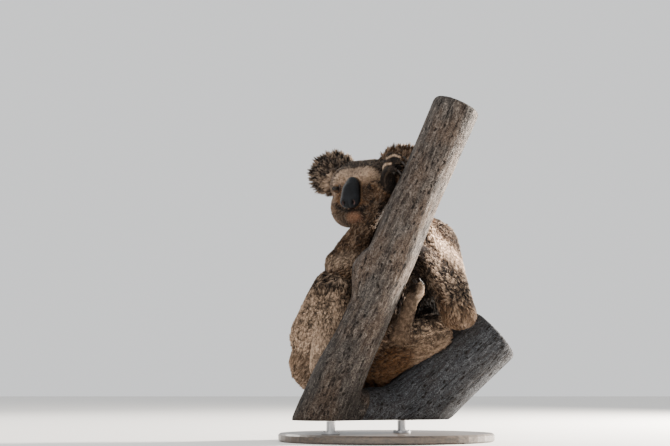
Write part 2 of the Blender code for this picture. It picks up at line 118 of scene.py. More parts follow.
def setPoints(mesh, co):
    mesh.vertices.foreach_set("co", np.asarray(co, np.float32).ravel())
    mesh.update()


def normalsOf(mesh):
    return readOut(mesh.vertex_normals, "vector", 3).astype(float)


def edgesOf(mesh):
    return readOut(mesh.edges, "vertices", 2, np.int32)


def trianglesOf(mesh):
    mesh.calc_loop_triangles()
    return readOut(mesh.loop_triangles, "vertices", 3, np.int32)


def ranked(values):
    # each value's place in the order, from 0 to 1
    return np.argsort(np.argsort(values)) / len(values)


def treeOf(points):
    tree = KDTree(len(points))
    for i, point in enumerate(points):
        tree.insert(point, i)
    tree.balance()
    return tree


def relaxed(values, edges, rounds, amount=0.5):
    # every value moves towards the mean of its neighbours
    values = np.array(values, float).reshape(len(values), -1)
    count = np.maximum(np.bincount(edges.ravel(), minlength=len(values)), 1)[:, None]
    for _ in range(rounds):
        total = np.empty_like(values)
        for k in range(values.shape[1]):
            total[:, k] = np.bincount(edges[:, 0], values[edges[:, 1], k], len(values))
            total[:, k] += np.bincount(edges[:, 1], values[edges[:, 0], k], len(values))
        values += amount * (total / count - values)
    return values


def softStep(x, low, high):
    # rises from 0 at low to 1 at high, and falls where low is above high
    t = np.clip((x - low) / (high - low), 0, 1)
    return t * t * (3 - 2 * t)


def cloudy(p, size, seed):
    # smooth random values from 0 to 1, over cells of the given size
    q = p / size + seed * 7.31
    i = np.floor(q).astype(np.int64)
    f = q - i
    f = f * f * (3 - 2 * f)
    total = np.zeros(len(p))
    for corner in range(8):
        d = np.array([corner & 1, corner >> 1 & 1, corner >> 2])
        c = i + d
        h = (c[:, 0] * 73856093 ^ c[:, 1] * 19349663 ^ c[:, 2] * 83492791) & 0xFFFFFFFF
        h = (h ^ h >> 15) * 2246822519 & 0xFFFFFFFF
        h = (h ^ h >> 13) * 3266489917 & 0xFFFFFFFF
        weight = np.prod(np.where(d, f, 1 - f), axis=1)
        total += weight * ((h ^ h >> 16) & 0xFFFFFF) / 0xFFFFFF
    return total


def newObject(name, mesh):
    obj = bpy.data.objects.new(name, mesh)
    bpy.context.scene.collection.objects.link(obj)
    return obj


def evaluatedMesh(obj, name):
    # a plain mesh of the object as its modifiers leave it
    graph = bpy.context.evaluated_depsgraph_get()
    mesh = bpy.data.meshes.new_from_object(obj.evaluated_get(graph))
    mesh.name = name
    return mesh


def reworked(out, meshes, change=None):
    # the meshes, joined and changed, written to one mesh
    bm = bmesh.new()
    for mesh in meshes:
        bm.from_mesh(mesh)
    if change:
        change(bm)
    bm.to_mesh(out)
    bm.free()
    return out


def newMesh(name, change):
    return reworked(bpy.data.meshes.new(name), [], change)


def looseCopy(node):
    # a CAD node's loose triangles, joined at their corners
    def merge(bm):
        bmesh.ops.remove_doubles(bm, verts=bm.verts, dist=1e-5)
    return reworked(bpy.data.meshes.new(node + "Copy"), [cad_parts[node].data], merge)


def modified(mesh, kind, name, **settings):
    # a plain mesh of what one modifier makes
    work = newObject("work", mesh)
    modifier = work.modifiers.new(name, kind)
    for key, value in settings.items():
        setattr(modifier, key, value)
    out = evaluatedMesh(work, name)
    bpy.data.objects.remove(work)
    return out


def remeshed(mesh, voxel, name):
    return modified(mesh, "REMESH", name, mode="VOXEL", voxel_size=voxel)


def thinned(mesh, triangles, name):
    have = len(trianglesOf(mesh))
    return mesh if have <= triangles else modified(mesh, "DECIMATE", name, ratio=triangles / have)


def withoutLargeFaces(bm):
    bmesh.ops.triangulate(bm, faces=[f for f in bm.faces if len(f.verts) > 4])


def finerNear(mesh, centre, radius):
    # splits the faces round a point, to hold small folds
    def split(bm):
        near = {v for v in bm.verts if (v.co - centre).length < radius}
        edges = [e for e in bm.edges if e.verts[0] in near and e.verts[1] in near]
        bmesh.ops.subdivide_edges(bm, edges=edges, cuts=1, use_grid_fill=True)
        withoutLargeFaces(bm)
    reworked(mesh, [mesh], split)


def storeValues(mesh, name, values):
    values = np.asarray(values, np.float32)
    kind = "FLOAT" if values.ndim == 1 else "FLOAT_VECTOR"
    layer = mesh.attributes.new(name, kind, "POINT")
    layer.data.foreach_set("value" if values.ndim == 1 else "vector", values.ravel())


def shadeSmooth(mesh):
    mesh.polygons.foreach_set("use_smooth", np.ones(len(mesh.polygons), bool))
    mesh.update()


# shader helpers

def newMaterial(name):
    material = bpy.data.materials.new(name)
    material.use_nodes = True
    tree = material.node_tree
    return material, tree, tree.nodes["Principled BSDF"]


def wire(tree, node, inputs):
    # each input takes a link or a value of its own
    for key, value in inputs.items():
        socket = node.inputs[key]
        if isinstance(value, bpy.types.NodeSocket):
            tree.links.new(value, socket)
        else:
            socket.default_value = (*value, 1) if socket.type == "RGBA" else value


def addNode(tree, kind, inputs=None, **settings):
    node = tree.nodes.new(kind)
    for key, value in settings.items():
        setattr(node, key, value)
    wire(tree, node, inputs or {})
    return node


def maths(tree, operation, a, b=0.5, clamp=False):
    return addNode(tree, "ShaderNodeMath", {0: a, 1: b}, operation=operation, use_clamp=clamp).outputs[0]


def times(tree, a, b, clamp=False):
    return maths(tree, "MULTIPLY", a, b, clamp)


def vectors(tree, operation, inputs, output=0):
    return addNode(tree, "ShaderNodeVectorMath", inputs, operation=operation).outputs[output]


def blended(tree, factor, a, b, mode="MIX"):
    return addNode(tree, "ShaderNodeMix", {0: factor, 6: a, 7: b}, data_type="RGBA", blend_type=mode).outputs[2]


def shaded(tree, colour, light):
    grey = addNode(tree, "ShaderNodeCombineColor", {0: light, 1: light, 2: light}).outputs[0]
    return blended(tree, 1.0, colour, grey, "MULTIPLY")


def remap(tree, value, low, high, toLow=0.0, toHigh=1.0):
    inputs = {0: value, 1: low, 2: high, 3: toLow, 4: toHigh}
    return addNode(tree, "ShaderNodeMapRange", inputs).outputs[0]


def noiseOf(tree, vector, scale, detail=3.0, roughness=0.55):
    inputs = {"Vector": vector, "Scale": scale, "Detail": detail, "Roughness": roughness}
    return addNode(tree, "ShaderNodeTexNoise", inputs).outputs[0]


def stretched(tree, vector, scale):
    return addNode(tree, "ShaderNodeMapping", {"Vector": vector, "Scale": scale}).outputs[0]


def placeOf(tree):
    return addNode(tree, "ShaderNodeTexCoord").outputs["Object"]


def bumpOf(tree, height, distance, strength=1.0):
    inputs = {"Height": height, "Distance": distance, "Strength": strength}
    return addNode(tree, "ShaderNodeBump", inputs).outputs[0]


def newGroup(name, inputs, outputs):
    # inputs and outputs are (name, kind) or (name, kind, default)
    group = bpy.data.node_groups.new(name, "ShaderNodeTree")
    for way, sockets in (("INPUT", inputs), ("OUTPUT", outputs)):
        for label, kind, *default in sockets:
            socket = group.interface.new_socket(label, in_out=way, socket_type="NodeSocket" + kind)
            if default:
                socket.default_value = default[0]
    return group, group.nodes.new("NodeGroupInput"), group.nodes.new("NodeGroupOutput")


# the skin: one closed surface inside the solids of flesh

skinPlan = {
    "voxel": 0.0016,
    "grow": 0.0010,  # closes the thin cuts between the parts
    "firstRounds": 6,
    "evenRounds": 14,
    "evenDepth": 25,
    "triangles": 150000,
    "fineParts": ("hand", "foot", "head", "jaw", "ear"),
    "evening": (0.12, 0.5),  # on the fine parts, and elsewhere
    "earShrink": 0.78,  # the fringe of hair takes the rest
    "earRoot": (0.046, 0.008, 0.028),
    "palm": ((0.0225, -0.0790, 0.4865), 0.0075),  # closes the palm on the wood
    "folds": {"mouth": (0.0016, 0.0022), "eye": (0.0012, 0.0014), "fingers": (0.0016, 0.0018)},  # width, depth
    "eyeCorner": (0.0420, -0.0480, -0.001),
    "eyeFoldEnds": ((0.050, -0.030, 0.010), (0.052, -0.026, 0.000), (0.050, -0.028, -0.012)),
    "fingerDrop": 0.0042,  # from a finger's upper edge down to the gap below it
    "mouthFine": 0.007,  # the faces are split this near the mouth
}
eyePlan = {
    "centre": (0.0335, -0.0465, -0.0020),  # in the head's frame, on its left
    "axis": (0.42, -0.905, 0.02),
    "radius": 0.0085,
    "lid": 0.0012,
    "bulge": 0.0022,  # the flesh stands this far beyond the eyeball
    "reach": (0.017, 84),  # how far the lids are shaped: from the centre, and in degrees off the axis
    "open": {"right": (34, 4), "left": (46, 2.4)},  # half width and half height of the opening, in degrees
    "fine": (0.0135, 0.0105),  # the faces are split within each of these radii,
    "fineSpot": 0.006,  # round a spot this far along the axis
}
coatPlan = {
    # for each kind of part: how deep the skin lies, the length of its hair, and how far that stands up
    "parts": {
        "head": (0.0022, 0.0060, 0.26), "jaw": (0.0010, 0.0034, 0.20), "ear": (0.0008, 0.0085, 0.34),
        "neck": (0.0040, 0.0105, 0.30), "trunk": (0.0048, 0.0130, 0.30), "upper_arm": (0.0040, 0.0100, 0.30),
        "forearm": (0.0032, 0.0080, 0.28), "hand": (0.0010, 0.0026, 0.24), "thigh": (0.0048, 0.0115, 0.32),
        "shank": (0.0034, 0.0080, 0.28), "foot": (0.0012, 0.0052, 0.24),
    },
    "muzzle": (0.0031, 0.0052),  # shortest hair on the head, and what is added far from the nose
    "fromNose": (0.024, 0.085),
    "fromEye": (0.009, 0.015),
    "droop": 0.22,
    "evenRounds": 22,
    "lengthRounds": 8,
    "streaks": (8, 9),  # rounds and seed
    "look": (0.0004, 0.001, 0.02),  # for room above the skin: start above it, start below it for wood, and reach
    "noseTip": (0, -0.070),
    "earRim": {"length": 0.0075, "rise": 0.92, "thick": 1.6},
}
skinDepth, hairLength, hairRise = np.array([coatPlan["parts"][kind] for kind in fleshKinds]).T


def partFinder():
    # tells which part of the body each point of the skin belongs to
    spots, owner = [], []
    for index, part in enumerate(fleshParts):
        bm = bmesh.new()
        bm.from_mesh(looseCopy(part))
        bmesh.ops.subdivide_edges(bm, edges=[e for e in bm.edges if e.calc_length() > 0.008], cuts=1)
        co = [v.co.copy() for v in bm.verts] + [f.calc_center_median() for f in bm.faces]
        if part.startswith("ear"):
            co += [earPlace(part) @ c for c in co]
        spots += co
        owner += [index] * len(co)
        bm.free()
    tree, owner = treeOf(spots), np.array(owner)
    return lambda points: owner[[tree.find(p)[1] for p in points]]


def earPlace(part):
    # the fleshy ear is a smaller copy of the solid, drawn in towards its root
    x, y, z = skinPlan["earRoot"]
    root = headToWorld @ Matrix.Translation((x if part.endswith("left") else -x, y, z))
    s = skinPlan["earShrink"]
    return root @ Matrix.Diagonal((s, s, s, 1)) @ root.inverted()


def eyeFrame(side):
    # x outwards, y up, z the way the eye looks
    sign = 1 if side == "left" else -1
    x, y, z = eyePlan["centre"]
    ax, ay, az = eyePlan["axis"]
    look = (headToWorld.to_3x3() @ Vector((sign * ax, ay, az))).normalized()
    up = headToWorld.to_3x3() @ Vector((0, 0, 1))
    out = up.cross(look).normalized() * -sign
    up = look.cross(out) * -sign
    return headToWorld @ Vector((sign * x, y, z)), out.normalized(), up.normalized(), look


def shapeLids(co, side):
    centre, out, up, look = (np.array(v) for v in eyeFrame(side))
    d = co - centre
    r = np.linalg.norm(d, axis=1)
    d = d / r[:, None]
    across = np.degrees(np.arctan2(d @ out, d @ look))
    high = np.degrees(np.arcsin(np.clip(d @ up, -1, 1)))
    off = np.degrees(np.arccos(np.clip(d @ look, -1, 1)))
    reach, widest = eyePlan["reach"]
    near = (r < reach) & (off < widest)
    wide, tall = eyePlan["open"][side]
    u = np.clip(across / wide, -1, 1)
    gap = tall * (1 - u * u) ** 0.8
    middle = 3.5 * u * u - 2.0 - 2.0 * u  # the slit droops a little at its inner corner
    edge = np.abs(high - middle) - gap  # below 0 inside the opening
    edge = np.where(np.abs(across) > wide, np.maximum(edge, (np.abs(across) - wide) * 0.7), edge)
    ball, lid = eyePlan["radius"], eyePlan["lid"]
    rim = 0.0006 * np.exp(-(((edge - 5) / 4.0) ** 2))
    fold = -0.0006 * np.exp(-(((edge - 15) / 3.0) ** 2)) * (high > middle)
    shell = ball + lid + rim + fold
    inner = ball - 0.0012 if side == "right" else ball + 0.0001
    shell = np.where(edge < 0, inner, inner + (shell - inner) * softStep(edge, 0, 2.5))
    weight = softStep(widest - off, 0, 34) * near
    return co + d * ((shell - r) * weight)[:, None]


def creased(mesh, co, path, fold):
    # a groove along a path in the head's frame
    width, depth = skinPlan["folds"][fold]
    path = placed(np.array(path, float), headToWorld)
    best = np.full(len(co), 1e9)
    for a, b in zip(path[:-1], path[1:]):
        t = np.clip((co - a) @ (b - a) / ((b - a) @ (b - a)), 0, 1)
        best = np.minimum(best, np.linalg.norm(co - a - t[:, None] * (b - a), axis=1))
    return co - normalsOf(mesh) * (depth * np.exp(-((best / width) ** 2)))[:, None]


mouthLine = (
    (-0.034, -0.0420, -0.0320), (-0.023, -0.0560, -0.0405), (-0.010, -0.0680, -0.0455), (0, -0.0720, -0.0460),
    (0.010, -0.0680, -0.0455), (0.023, -0.0560, -0.0405), (0.034, -0.0420, -0.0320),
)
# the upper edges of the right hand's fingers
handEdges = (
    ((-0.002, -0.080, 0.5120), (0.010, -0.080, 0.5165), (0.028, -0.080, 0.5110)),
    ((-0.001, -0.080, 0.5000), (0.012, -0.080, 0.5055), (0.029, -0.080, 0.4980)),
    ((-0.008, -0.078, 0.4840), (-0.004, -0.078, 0.4890), (0.006, -0.078, 0.4890)),
)


def bulge(place, radius):
    def grow(bm):
        bmesh.ops.create_icosphere(bm, subdivisions=3, radius=radius)
        bmesh.ops.translate(bm, verts=bm.verts, vec=place)
    return newMesh("bulge", grow)


def buildSkin():
    lids = eyePlan["radius"] + eyePlan["bulge"]
    pieces = []
    for part in fleshParts:
        mesh = looseCopy(part)
        if part.startswith("ear"):
            mesh.transform(earPlace(part))
        setPoints(mesh, pointsOf(mesh) + normalsOf(mesh) * skinPlan["grow"])
        pieces.append(mesh)
    pieces += [bulge(eyeFrame(side)[0], lids) for side in ("left", "right")]
    pieces.append(bulge(*skinPlan["palm"]))
    mesh = remeshed(reworked(bpy.data.meshes.new("flesh"), pieces), skinPlan["voxel"], "skin")
    finder = partFinder()
    co, edges = pointsOf(mesh), edgesOf(mesh)
    part = finder(co)
    fine = np.isin(fleshKinds, skinPlan["fineParts"])[part]
    co = relaxed(co, edges, skinPlan["firstRounds"])
    amount = relaxed(np.where(fine, *skinPlan["evening"]), edges, skinPlan["firstRounds"])
    co = relaxed(co, edges, skinPlan["evenRounds"], amount)
    setPoints(mesh, co)
    depth = relaxed(skinDepth[part] + skinPlan["grow"], edges, skinPlan["evenDepth"])
    setPoints(mesh, relaxed(co - normalsOf(mesh) * depth, edges, 2))
    for side in ("left", "right"):
        centre, _, _, look = eyeFrame(side)
        for radius in eyePlan["fine"]:
            finerNear(mesh, centre + look * eyePlan["fineSpot"], radius)
    for spot in mouthLine[1:-1]:
        finerNear(mesh, headToWorld @ Vector(spot), skinPlan["mouthFine"])
    co = pointsOf(mesh)
    for side in ("left", "right"):
        co = shapeLids(co, side)
    setPoints(mesh, co)
    co = creased(mesh, co, mouthLine, "mouth")
    for end in skinPlan["eyeFoldEnds"]:  # by the closed eye
        co = creased(mesh, co, (skinPlan["eyeCorner"], end), "eye")
    for path in handEdges:
        low = [worldToHead @ Vector((x, y, z - skinPlan["fingerDrop"])) for x, y, z in path]
        co = creased(mesh, co, low, "fingers")
    setPoints(mesh, co)
    mesh = thinned(mesh, skinPlan["triangles"], "skin")
    shadeSmooth(mesh)
    return mesh, finder


# the lie, length and markings of the coat, with painted light and shade

def alongChain(co, chain):
    # the direction of the nearest length of a chain of joints, and how far along it each point lies
    chain = np.array(chain, float)
    best, way, far = np.full(len(co), 1e9), np.zeros_like(co), np.zeros(len(co))
    walked = 0
    for a, b in zip(chain[:-1], chain[1:]):
        step = b - a
        size = np.linalg.norm(step)
        t = np.clip((co - a) @ step / size**2, 0, 1)
        gap = np.linalg.norm(co - a - t[:, None] * step, axis=1)
        closer = gap < best
        best[closer], way[closer], far[closer] = gap[closer], step / size, walked + t[closer] * size
        walked += size
    return way, far, best


def chainOf(part):
    kind = partKind(part)
    side = "Left" if part.endswith("left") else "Right"
    arm, leg = pose["arm" + side], pose["leg" + side]
    return {
        "neck": (pose["headCentre"], pose["nape"], pose["chest"]),
        "trunk": (pose["nape"], pose["chest"], pose["belly"], pose["pelvis"], pose["rump"]),
        "upper_arm": arm[:2], "forearm": arm[1:3], "hand": arm[2:],
        "thigh": leg[:2], "shank": leg[1:3], "foot": leg[2:],
    }[kind]


def streaksAlong(co, flow, edges, rounds, seed):
    # random values from 0 to 1, drawn out along the lie of the coat
    values = np.random.default_rng(seed).random(len(co))
    i, j = edges.T
    way = unit(co[j] - co[i])
    towards = np.sum(way * flow[i], axis=1) ** 4 + 0.03
    back = np.sum(way * flow[j], axis=1) ** 4 + 0.03
    total = np.maximum(np.bincount(i, towards, len(co)) + np.bincount(j, back, len(co)), 1e-6)
    for _ in range(rounds):
        mean = (np.bincount(i, towards * values[j], len(co)) + np.bincount(j, back * values[i], len(co))) / total
        values = 0.3 * values + 0.7 * mean
    return ranked(values)


def lieOfCoat(mesh, part):
    co, normal, edges = pointsOf(mesh), normalsOf(mesh), edgesOf(mesh)
    local = placed(co, worldToHead)
    flow = np.zeros_like(co)
    for index, name in enumerate(fleshParts):
        here = part == index
        if name in ("head", "jaw"):
            away = local[here] - np.array((*coatPlan["noseTip"], -0.006))
            away[:, 2] *= 1.2
            flow[here] = unit(away) @ headSpin.T
        elif name.startswith("ear"):
            x, y, z = skinPlan["earRoot"]
            away = local[here] - np.array((x if name.endswith("left") else -x, y, z - 0.006))
            away[:, 1] = 0
            flow[here] = unit(away) @ headSpin.T
        else:
            flow[here] = alongChain(co[here], chainOf(name))[0]
            flow[here, 2] -= coatPlan["droop"]
    flow = relaxed(unit(flattened(flow, normal)), edges, coatPlan["evenRounds"])
    return unit(flattened(flow, normal))


maskNames = ("dark", "pale", "warm", "pink", "grizzle")
patches = {  # soft-edged ellipsoids: centre and half sizes
    # on the body, in the model's frame
    "rump": ((-0.155, 0.050, 0.118), (0.050, 0.100, 0.052)),
    "shadedRumpEdge": ((-0.165, 0.060, 0.135), (0.035, 0.060, 0.055)),
    "throatShade": ((-0.004, 0.000, 0.402), (0.032, 0.080, 0.042)),
    "shadedLap": ((0.074, 0.010, 0.235), (0.045, 0.070, 0.035)),
    "shadedLapFold": ((0.078, 0.020, 0.231), (0.035, 0.080, 0.012)),
    "leftThigh": ((0.025, -0.020, 0.225), (0.055, 0.060, 0.032)),
    "leftKnee": ((0.085, -0.010, 0.190), (0.040, 0.060, 0.030)),
    "leftKneeCap": ((0.085, -0.010, 0.195), (0.046, 0.060, 0.030)),
    "rightElbow": ((-0.086, -0.040, 0.324), (0.034, 0.060, 0.011)),
    "rightElbowHair": ((-0.084, -0.040, 0.320), (0.034, 0.040, 0.018)),
    "leftArmMiddle": ((0.128, -0.035, 0.294), (0.028, 0.050, 0.036)),
    "leftArmFlecks": ((0.130, -0.030, 0.300), (0.045, 0.060, 0.060)),
    "leftArmShadedInside": ((0.085, -0.040, 0.270), (0.030, 0.040, 0.060)),
    "leftElbow": ((0.140, -0.030, 0.235), (0.040, 0.050, 0.022)),
    "leftElbowHair": ((0.130, -0.030, 0.232), (0.040, 0.050, 0.020)),
    "heel": ((-0.130, 0.000, 0.136), (0.024, 0.120, 0.034)),
    "toes": ((0.062, -0.060, 0.250), (0.011, 0.040, 0.040)),
    "crotch": ((-0.030, 0.000, 0.094), (0.032, 0.100, 0.020)),
    # on the head, in its own frame
    "underLeftEye": ((0.030, -0.052, -0.014), (0.021, 0.020, 0.019)),
    "rightEye": ((-0.034, -0.050, -0.004), (0.013, 0.020, 0.012)),
    "cheek": ((0.020, -0.050, -0.050), (0.020, 0.030, 0.016)),
    "chin": ((0.001, -0.058, -0.062), (0.013, 0.018, 0.013)),
    "lip": ((0.010, -0.066, -0.044), (0.012, 0.010, 0.006)),
    "earDish": ((0.066, 0.0, 0.026), (0.020, 0.030, 0.016)),
}
facePlan = {
    "disc": ((0.002, 0.047), (-0.006, 0.041)),  # the brown disc's middle and half size, across and up
    # painted shade in the creases of the mouth and round the eyes
    "creaseShadeLines": (  # each with its width
        (mouthLine, 0.0032),
        (((0.0270, -0.058, -0.0060), (0.0380, -0.054, -0.0040), (0.0470, -0.048, -0.0010)), 0.0021),
        (((0.0360, -0.054, 0.0015), (0.0450, -0.048, 0.0050), (0.0530, -0.036, 0.0100)), 0.0015),
        (((-0.0290, -0.058, -0.0040), (-0.0450, -0.050, -0.0020)), 0.0028),
    ),
    "noseRimLight": (((-0.009, -0.064, 0.0150), (-0.0165, -0.066, -0.0080), (-0.0195, -0.068, -0.0350)), 0.0016),
}


def stroke(co, path, width):
    # 1 on a line drawn over the front of the shape, whatever the depth
    far = alongChain(co * (1, 0.02, 1), np.array(path) * (1, 0.02, 1))[2]
    return np.exp(-((far / width) ** 2))


def patch(co, name, soft=0.45):
    # 1 inside the soft-edged patch, 0 outside
    centre, size = patches[name]
    d = np.linalg.norm((co - np.array(centre)) / np.array(size), axis=1)
    return 1 - softStep(d, 1 - soft, 1 + soft)


def markingsAndPaintedLight(co, part):
    # soft masks for the coat's colours, on the skin, with painted light and shade among them
    masks = {name: np.full(len(co), 0.45 if name == "grizzle" else 0.0) for name in maskNames}

    def mark(where, **amounts):
        for name, amount in amounts.items():
            masks[name] += where * amount
    kind, onLeft = fleshKinds[part], leftParts[part]
    markBody(mark, co, kind, onLeft)
    markHead(mark, masks, placed(co, worldToHead), kind, onLeft)
    return {name: np.clip(values, 0, 1) for name, values in masks.items()}


def markBody(mark, co, kind, onLeft):
    arm, leg = np.isin(kind, ("upper_arm", "forearm")), np.isin(kind, ("thigh", "shank"))
    neck, trunk, hand, foot = (kind == name for name in ("neck", "trunk", "hand", "foot"))
    warped = co + 0.010 * np.stack([cloudy(co, 0.022, s) - 0.5 for s in (1, 2, 3)], axis=1)
    x, y, z = warped.T
    # trunk: dark grizzled back, painted shade on the chest, pale rump edge
    chest = softStep(z, 0.200, 0.240) * softStep(-y, -0.055, -0.005)
    mark(trunk, dark=0.20 * softStep(y, 0.075, 0.125) + 0.40 + 0.35 * chest, grizzle=0.05)
    mark(trunk * patch(co, "rump"), dark=-0.22, pale=0.42, grizzle=-0.15)
    # a warm tint of painted shade along the rump's far edge
    mark(trunk * patch(warped, "shadedRumpEdge"), warm=0.65)
    # painted shade in the lap between the left arm and thigh
    mark(trunk * patch(co, "shadedLap"), dark=0.5, grizzle=-0.4)
    mark(neck, dark=0.42, warm=0.35, grizzle=0.25 - 0.30 * softStep(y, 0.000, 0.040))
    # painted shade on the throat beside the limb
    mark(patch(co, "throatShade"), dark=0.55, warm=0.65, grizzle=-0.45)
    # right leg: a dark grizzled knee, pale streaked thigh, a smooth pale stripe below, and a warm tint of painted
    # shade at the far left edge
    right = leg & ~onLeft
    mark(right, dark=0.90 * softStep(z, 0.245, 0.275), warm=0.60 * softStep(x, -0.140, -0.160))
    mark(right * softStep(z, 0.275, 0.235), pale=0.62 + 0.38 * softStep(z, 0.200, 0.165))
    mark(right, grizzle=0.32 * softStep(z, 0.180, 0.215) - 0.35 * softStep(z, 0.190, 0.165))
    # left leg: grizzled top, painted shade along its upper edge and in the lap fold, pale knee, and an orange-brown
    # underside of painted shade with a warm reflected tint
    left, shadedUnderside = leg & onLeft, softStep(z, 0.178, 0.150)
    mark(left * patch(co, "shadedLapFold"), dark=0.5, grizzle=-0.8)
    mark(left, dark=0.42 + 0.45 * softStep(z, 0.212, 0.224) + 0.60 * patch(warped, "leftThigh"))
    mark(left, dark=-0.20 * patch(warped, "leftKnee"), pale=0.25 * patch(warped, "leftKneeCap"))
    mark(left * shadedUnderside, pale=0.55 * softStep(x, 0.030, 0.055), warm=0.80, grizzle=-0.30)
    mark(left, grizzle=0.40 * softStep(z, 0.175, 0.205))
    # right arm: golden brown and dark, a fringe at the elbow, and a golden strip at the wrist that is a painted
    # highlight on its lit edge
    right = arm & ~onLeft
    mark(right, dark=0.55, warm=0.40 + 0.50 * softStep(z, 0.420, 0.445), pale=0.90 * patch(co, "rightElbow"))
    # left arm: a painted sunlit highlight on the ridge, painted shade on the shoulder above it, dark grizzled middle,
    # golden elbow, and painted shade on the inner side
    left = arm & onLeft
    over = (x - 0.0875) * 0.819 + (z - 0.379) * 0.574  # how far beyond the ridge
    # the ridge: a painted sunlit highlight along the arm's upper edge
    ridge = np.exp(-((over / 0.0135) ** 4)) * softStep(x, 0.070, 0.080)
    ridge = ridge * softStep(z, 0.280, 0.305) * softStep(-y, -0.030, -0.010)
    # painted shade on the shoulder beyond the sunlit ridge
    shadedHump = (left | trunk) * softStep(over, 0.015, 0.021) * softStep(z, 0.325, 0.345)
    # the last term darkens the inner side towards the limb: painted shade
    mark(left, dark=0.42 + 0.85 * patch(warped, "leftArmMiddle") + 0.45 * softStep(x, 0.110, 0.085))
    mark(left, pale=0.12 * patch(warped, "leftElbow"), grizzle=0.50 * patch(warped, "leftArmFlecks"))
    # a brown tint of painted shade on the inner side, and golden hair low at the elbow
    mark(left, warm=0.45 * patch(warped, "leftArmShadedInside") + 0.45 * softStep(z, 0.265, 0.235))
    mark(left * ridge, pale=0.95, dark=-0.60, grizzle=-0.60)
    mark(shadedHump, dark=0.40, grizzle=-0.15)
    # hands and feet are dark, with pale hair on the upper edges of the fingers painted bright as a highlight
    mark(hand | foot, dark=1.0, grizzle=-0.33)
    mark((foot & ~onLeft) * patch(co, "heel"), dark=-0.85, pale=0.65)
    # a painted highlight along the upper edges of the right hand's fingers
    for path in handEdges:
        near = stroke(co, path, 0.0019) * (hand & ~onLeft) * softStep(-co[:, 1], 0.066, 0.074)
        mark(near, pale=1.0, dark=-1.5)
    left, low = foot & onLeft, softStep(z, 0.275, 0.255)
    mark(left * patch(co, "toes"), pale=0.90, dark=-0.50)
    # the warm tint on the foot's side towards the limb is painted shade
    mark(left * low, pale=0.30, warm=0.60 * softStep(co[:, 0], 0.048, 0.030), dark=-0.45)


def markHead(mark, masks, local, kind, onLeft):
    face, ear = np.isin(kind, ("head", "jaw")), kind == "ear"
    lx, ly, lz = local.T
    # a warm brown disc with a thin pale border of pale hair and painted rim light, and a dark grizzled crown
    (middleX, wide), (middleZ, tall) = facePlan["disc"]
    disc = np.sqrt(((lx - middleX) / wide) ** 2 + ((lz - middleZ) / tall) ** 2)
    front = softStep(-ly, -0.005, 0.020)
    rimLitBorder = face * np.exp(-(((disc - 1.0) / 0.050) ** 2)) * front * softStep(lz, -0.030, 0.004)
    inside = softStep(disc, 1.02, 0.90) * front
    mark(face, dark=0.50 - 0.42 * inside + 0.35 * softStep(lz, 0.026, 0.040) * (1 - inside))
    mark(face, warm=0.82 * inside + 0.65 * softStep(np.abs(lx), 0.026, 0.046) * softStep(lz, 0.02, 0.0))
    mark(face * inside, pale=0.78 * softStep(lz, -0.005, 0.020), grizzle=0.05)
    mark(rimLitBorder, pale=1.50, dark=-0.90, grizzle=-0.30)
    mark(face * patch(local, "underLeftEye"), dark=0.52, warm=-0.55, grizzle=-0.25)
    mark(face, dark=0.45 * patch(local, "rightEye") + 0.35 * patch(local, "cheek"), grizzle=0.15)
    mark(face, pink=patch(local, "chin") + 0.5 * patch(local, "lip"))
    # painted shade along the creases of the mouth and eyes
    for path, width in facePlan["creaseShadeLines"]:
        near = stroke(local, path, width) * face * softStep(-ly, 0.020, 0.035)
        for name in ("pink", "pale", "grizzle"):
            masks[name] *= 1 - near
        mark(near, dark=1.4)
    # a painted highlight of rim light along the right side of the nose
    mark(stroke(local, *facePlan["noseRimLight"]) * face * softStep(-ly, 0.040, 0.055), pale=0.8, dark=-0.6)
    # ears: dark outside and at the rim, tan in the lower dish
    rootX, _, rootZ = skinPlan["earRoot"]
    rim = softStep(np.hypot(np.abs(lx) - rootX, lz - rootZ), 0.022, 0.036)
    dish = ear * softStep(-ly, -0.006, 0.000) * patch(np.abs(local), "earDish")
    mark(ear, dark=0.80 - 0.30 * onLeft, warm=0.50 * onLeft, grizzle=0.40 * rim - 0.20)
    mark(dish, pale=0.75, warm=0.70)
    masks["dark"] *= 1 - 0.75 * dish


def roomAbove(mesh, co, normal, perchTree):
    # how far each point of the skin is from other skin or the perch
    tree = BVHTree.FromPolygons(co.tolist(), trianglesOf(mesh).tolist())
    room = np.full(len(co), 1.0)
    above, below, reach = coatPlan["look"]
    for i, (c, n) in enumerate(zip(co.tolist(), normal.tolist())):
        start, way = Vector(c), Vector(n)
        hit = tree.ray_cast(start + way * above, way, reach)[3]
        wood = perchTree.ray_cast(start - way * below, way, reach)[3]
        room[i] = min(hit or 1.0, wood or 1.0)
    return room


def earRims(local, normal, kind):
    # 1 on the outer edge of the ears, where the hair is long and stands up
    rootX, _, rootZ = skinPlan["earRoot"]
    out = local - np.array((0, 0, rootZ - 0.002))
    out[:, 0] -= np.sign(local[:, 0]) * rootX
    out[:, 1] = 0
    return softStep(np.sum(unit(out) * (normal @ headSpin), axis=1), 0.25, 0.85) * (kind == "ear")


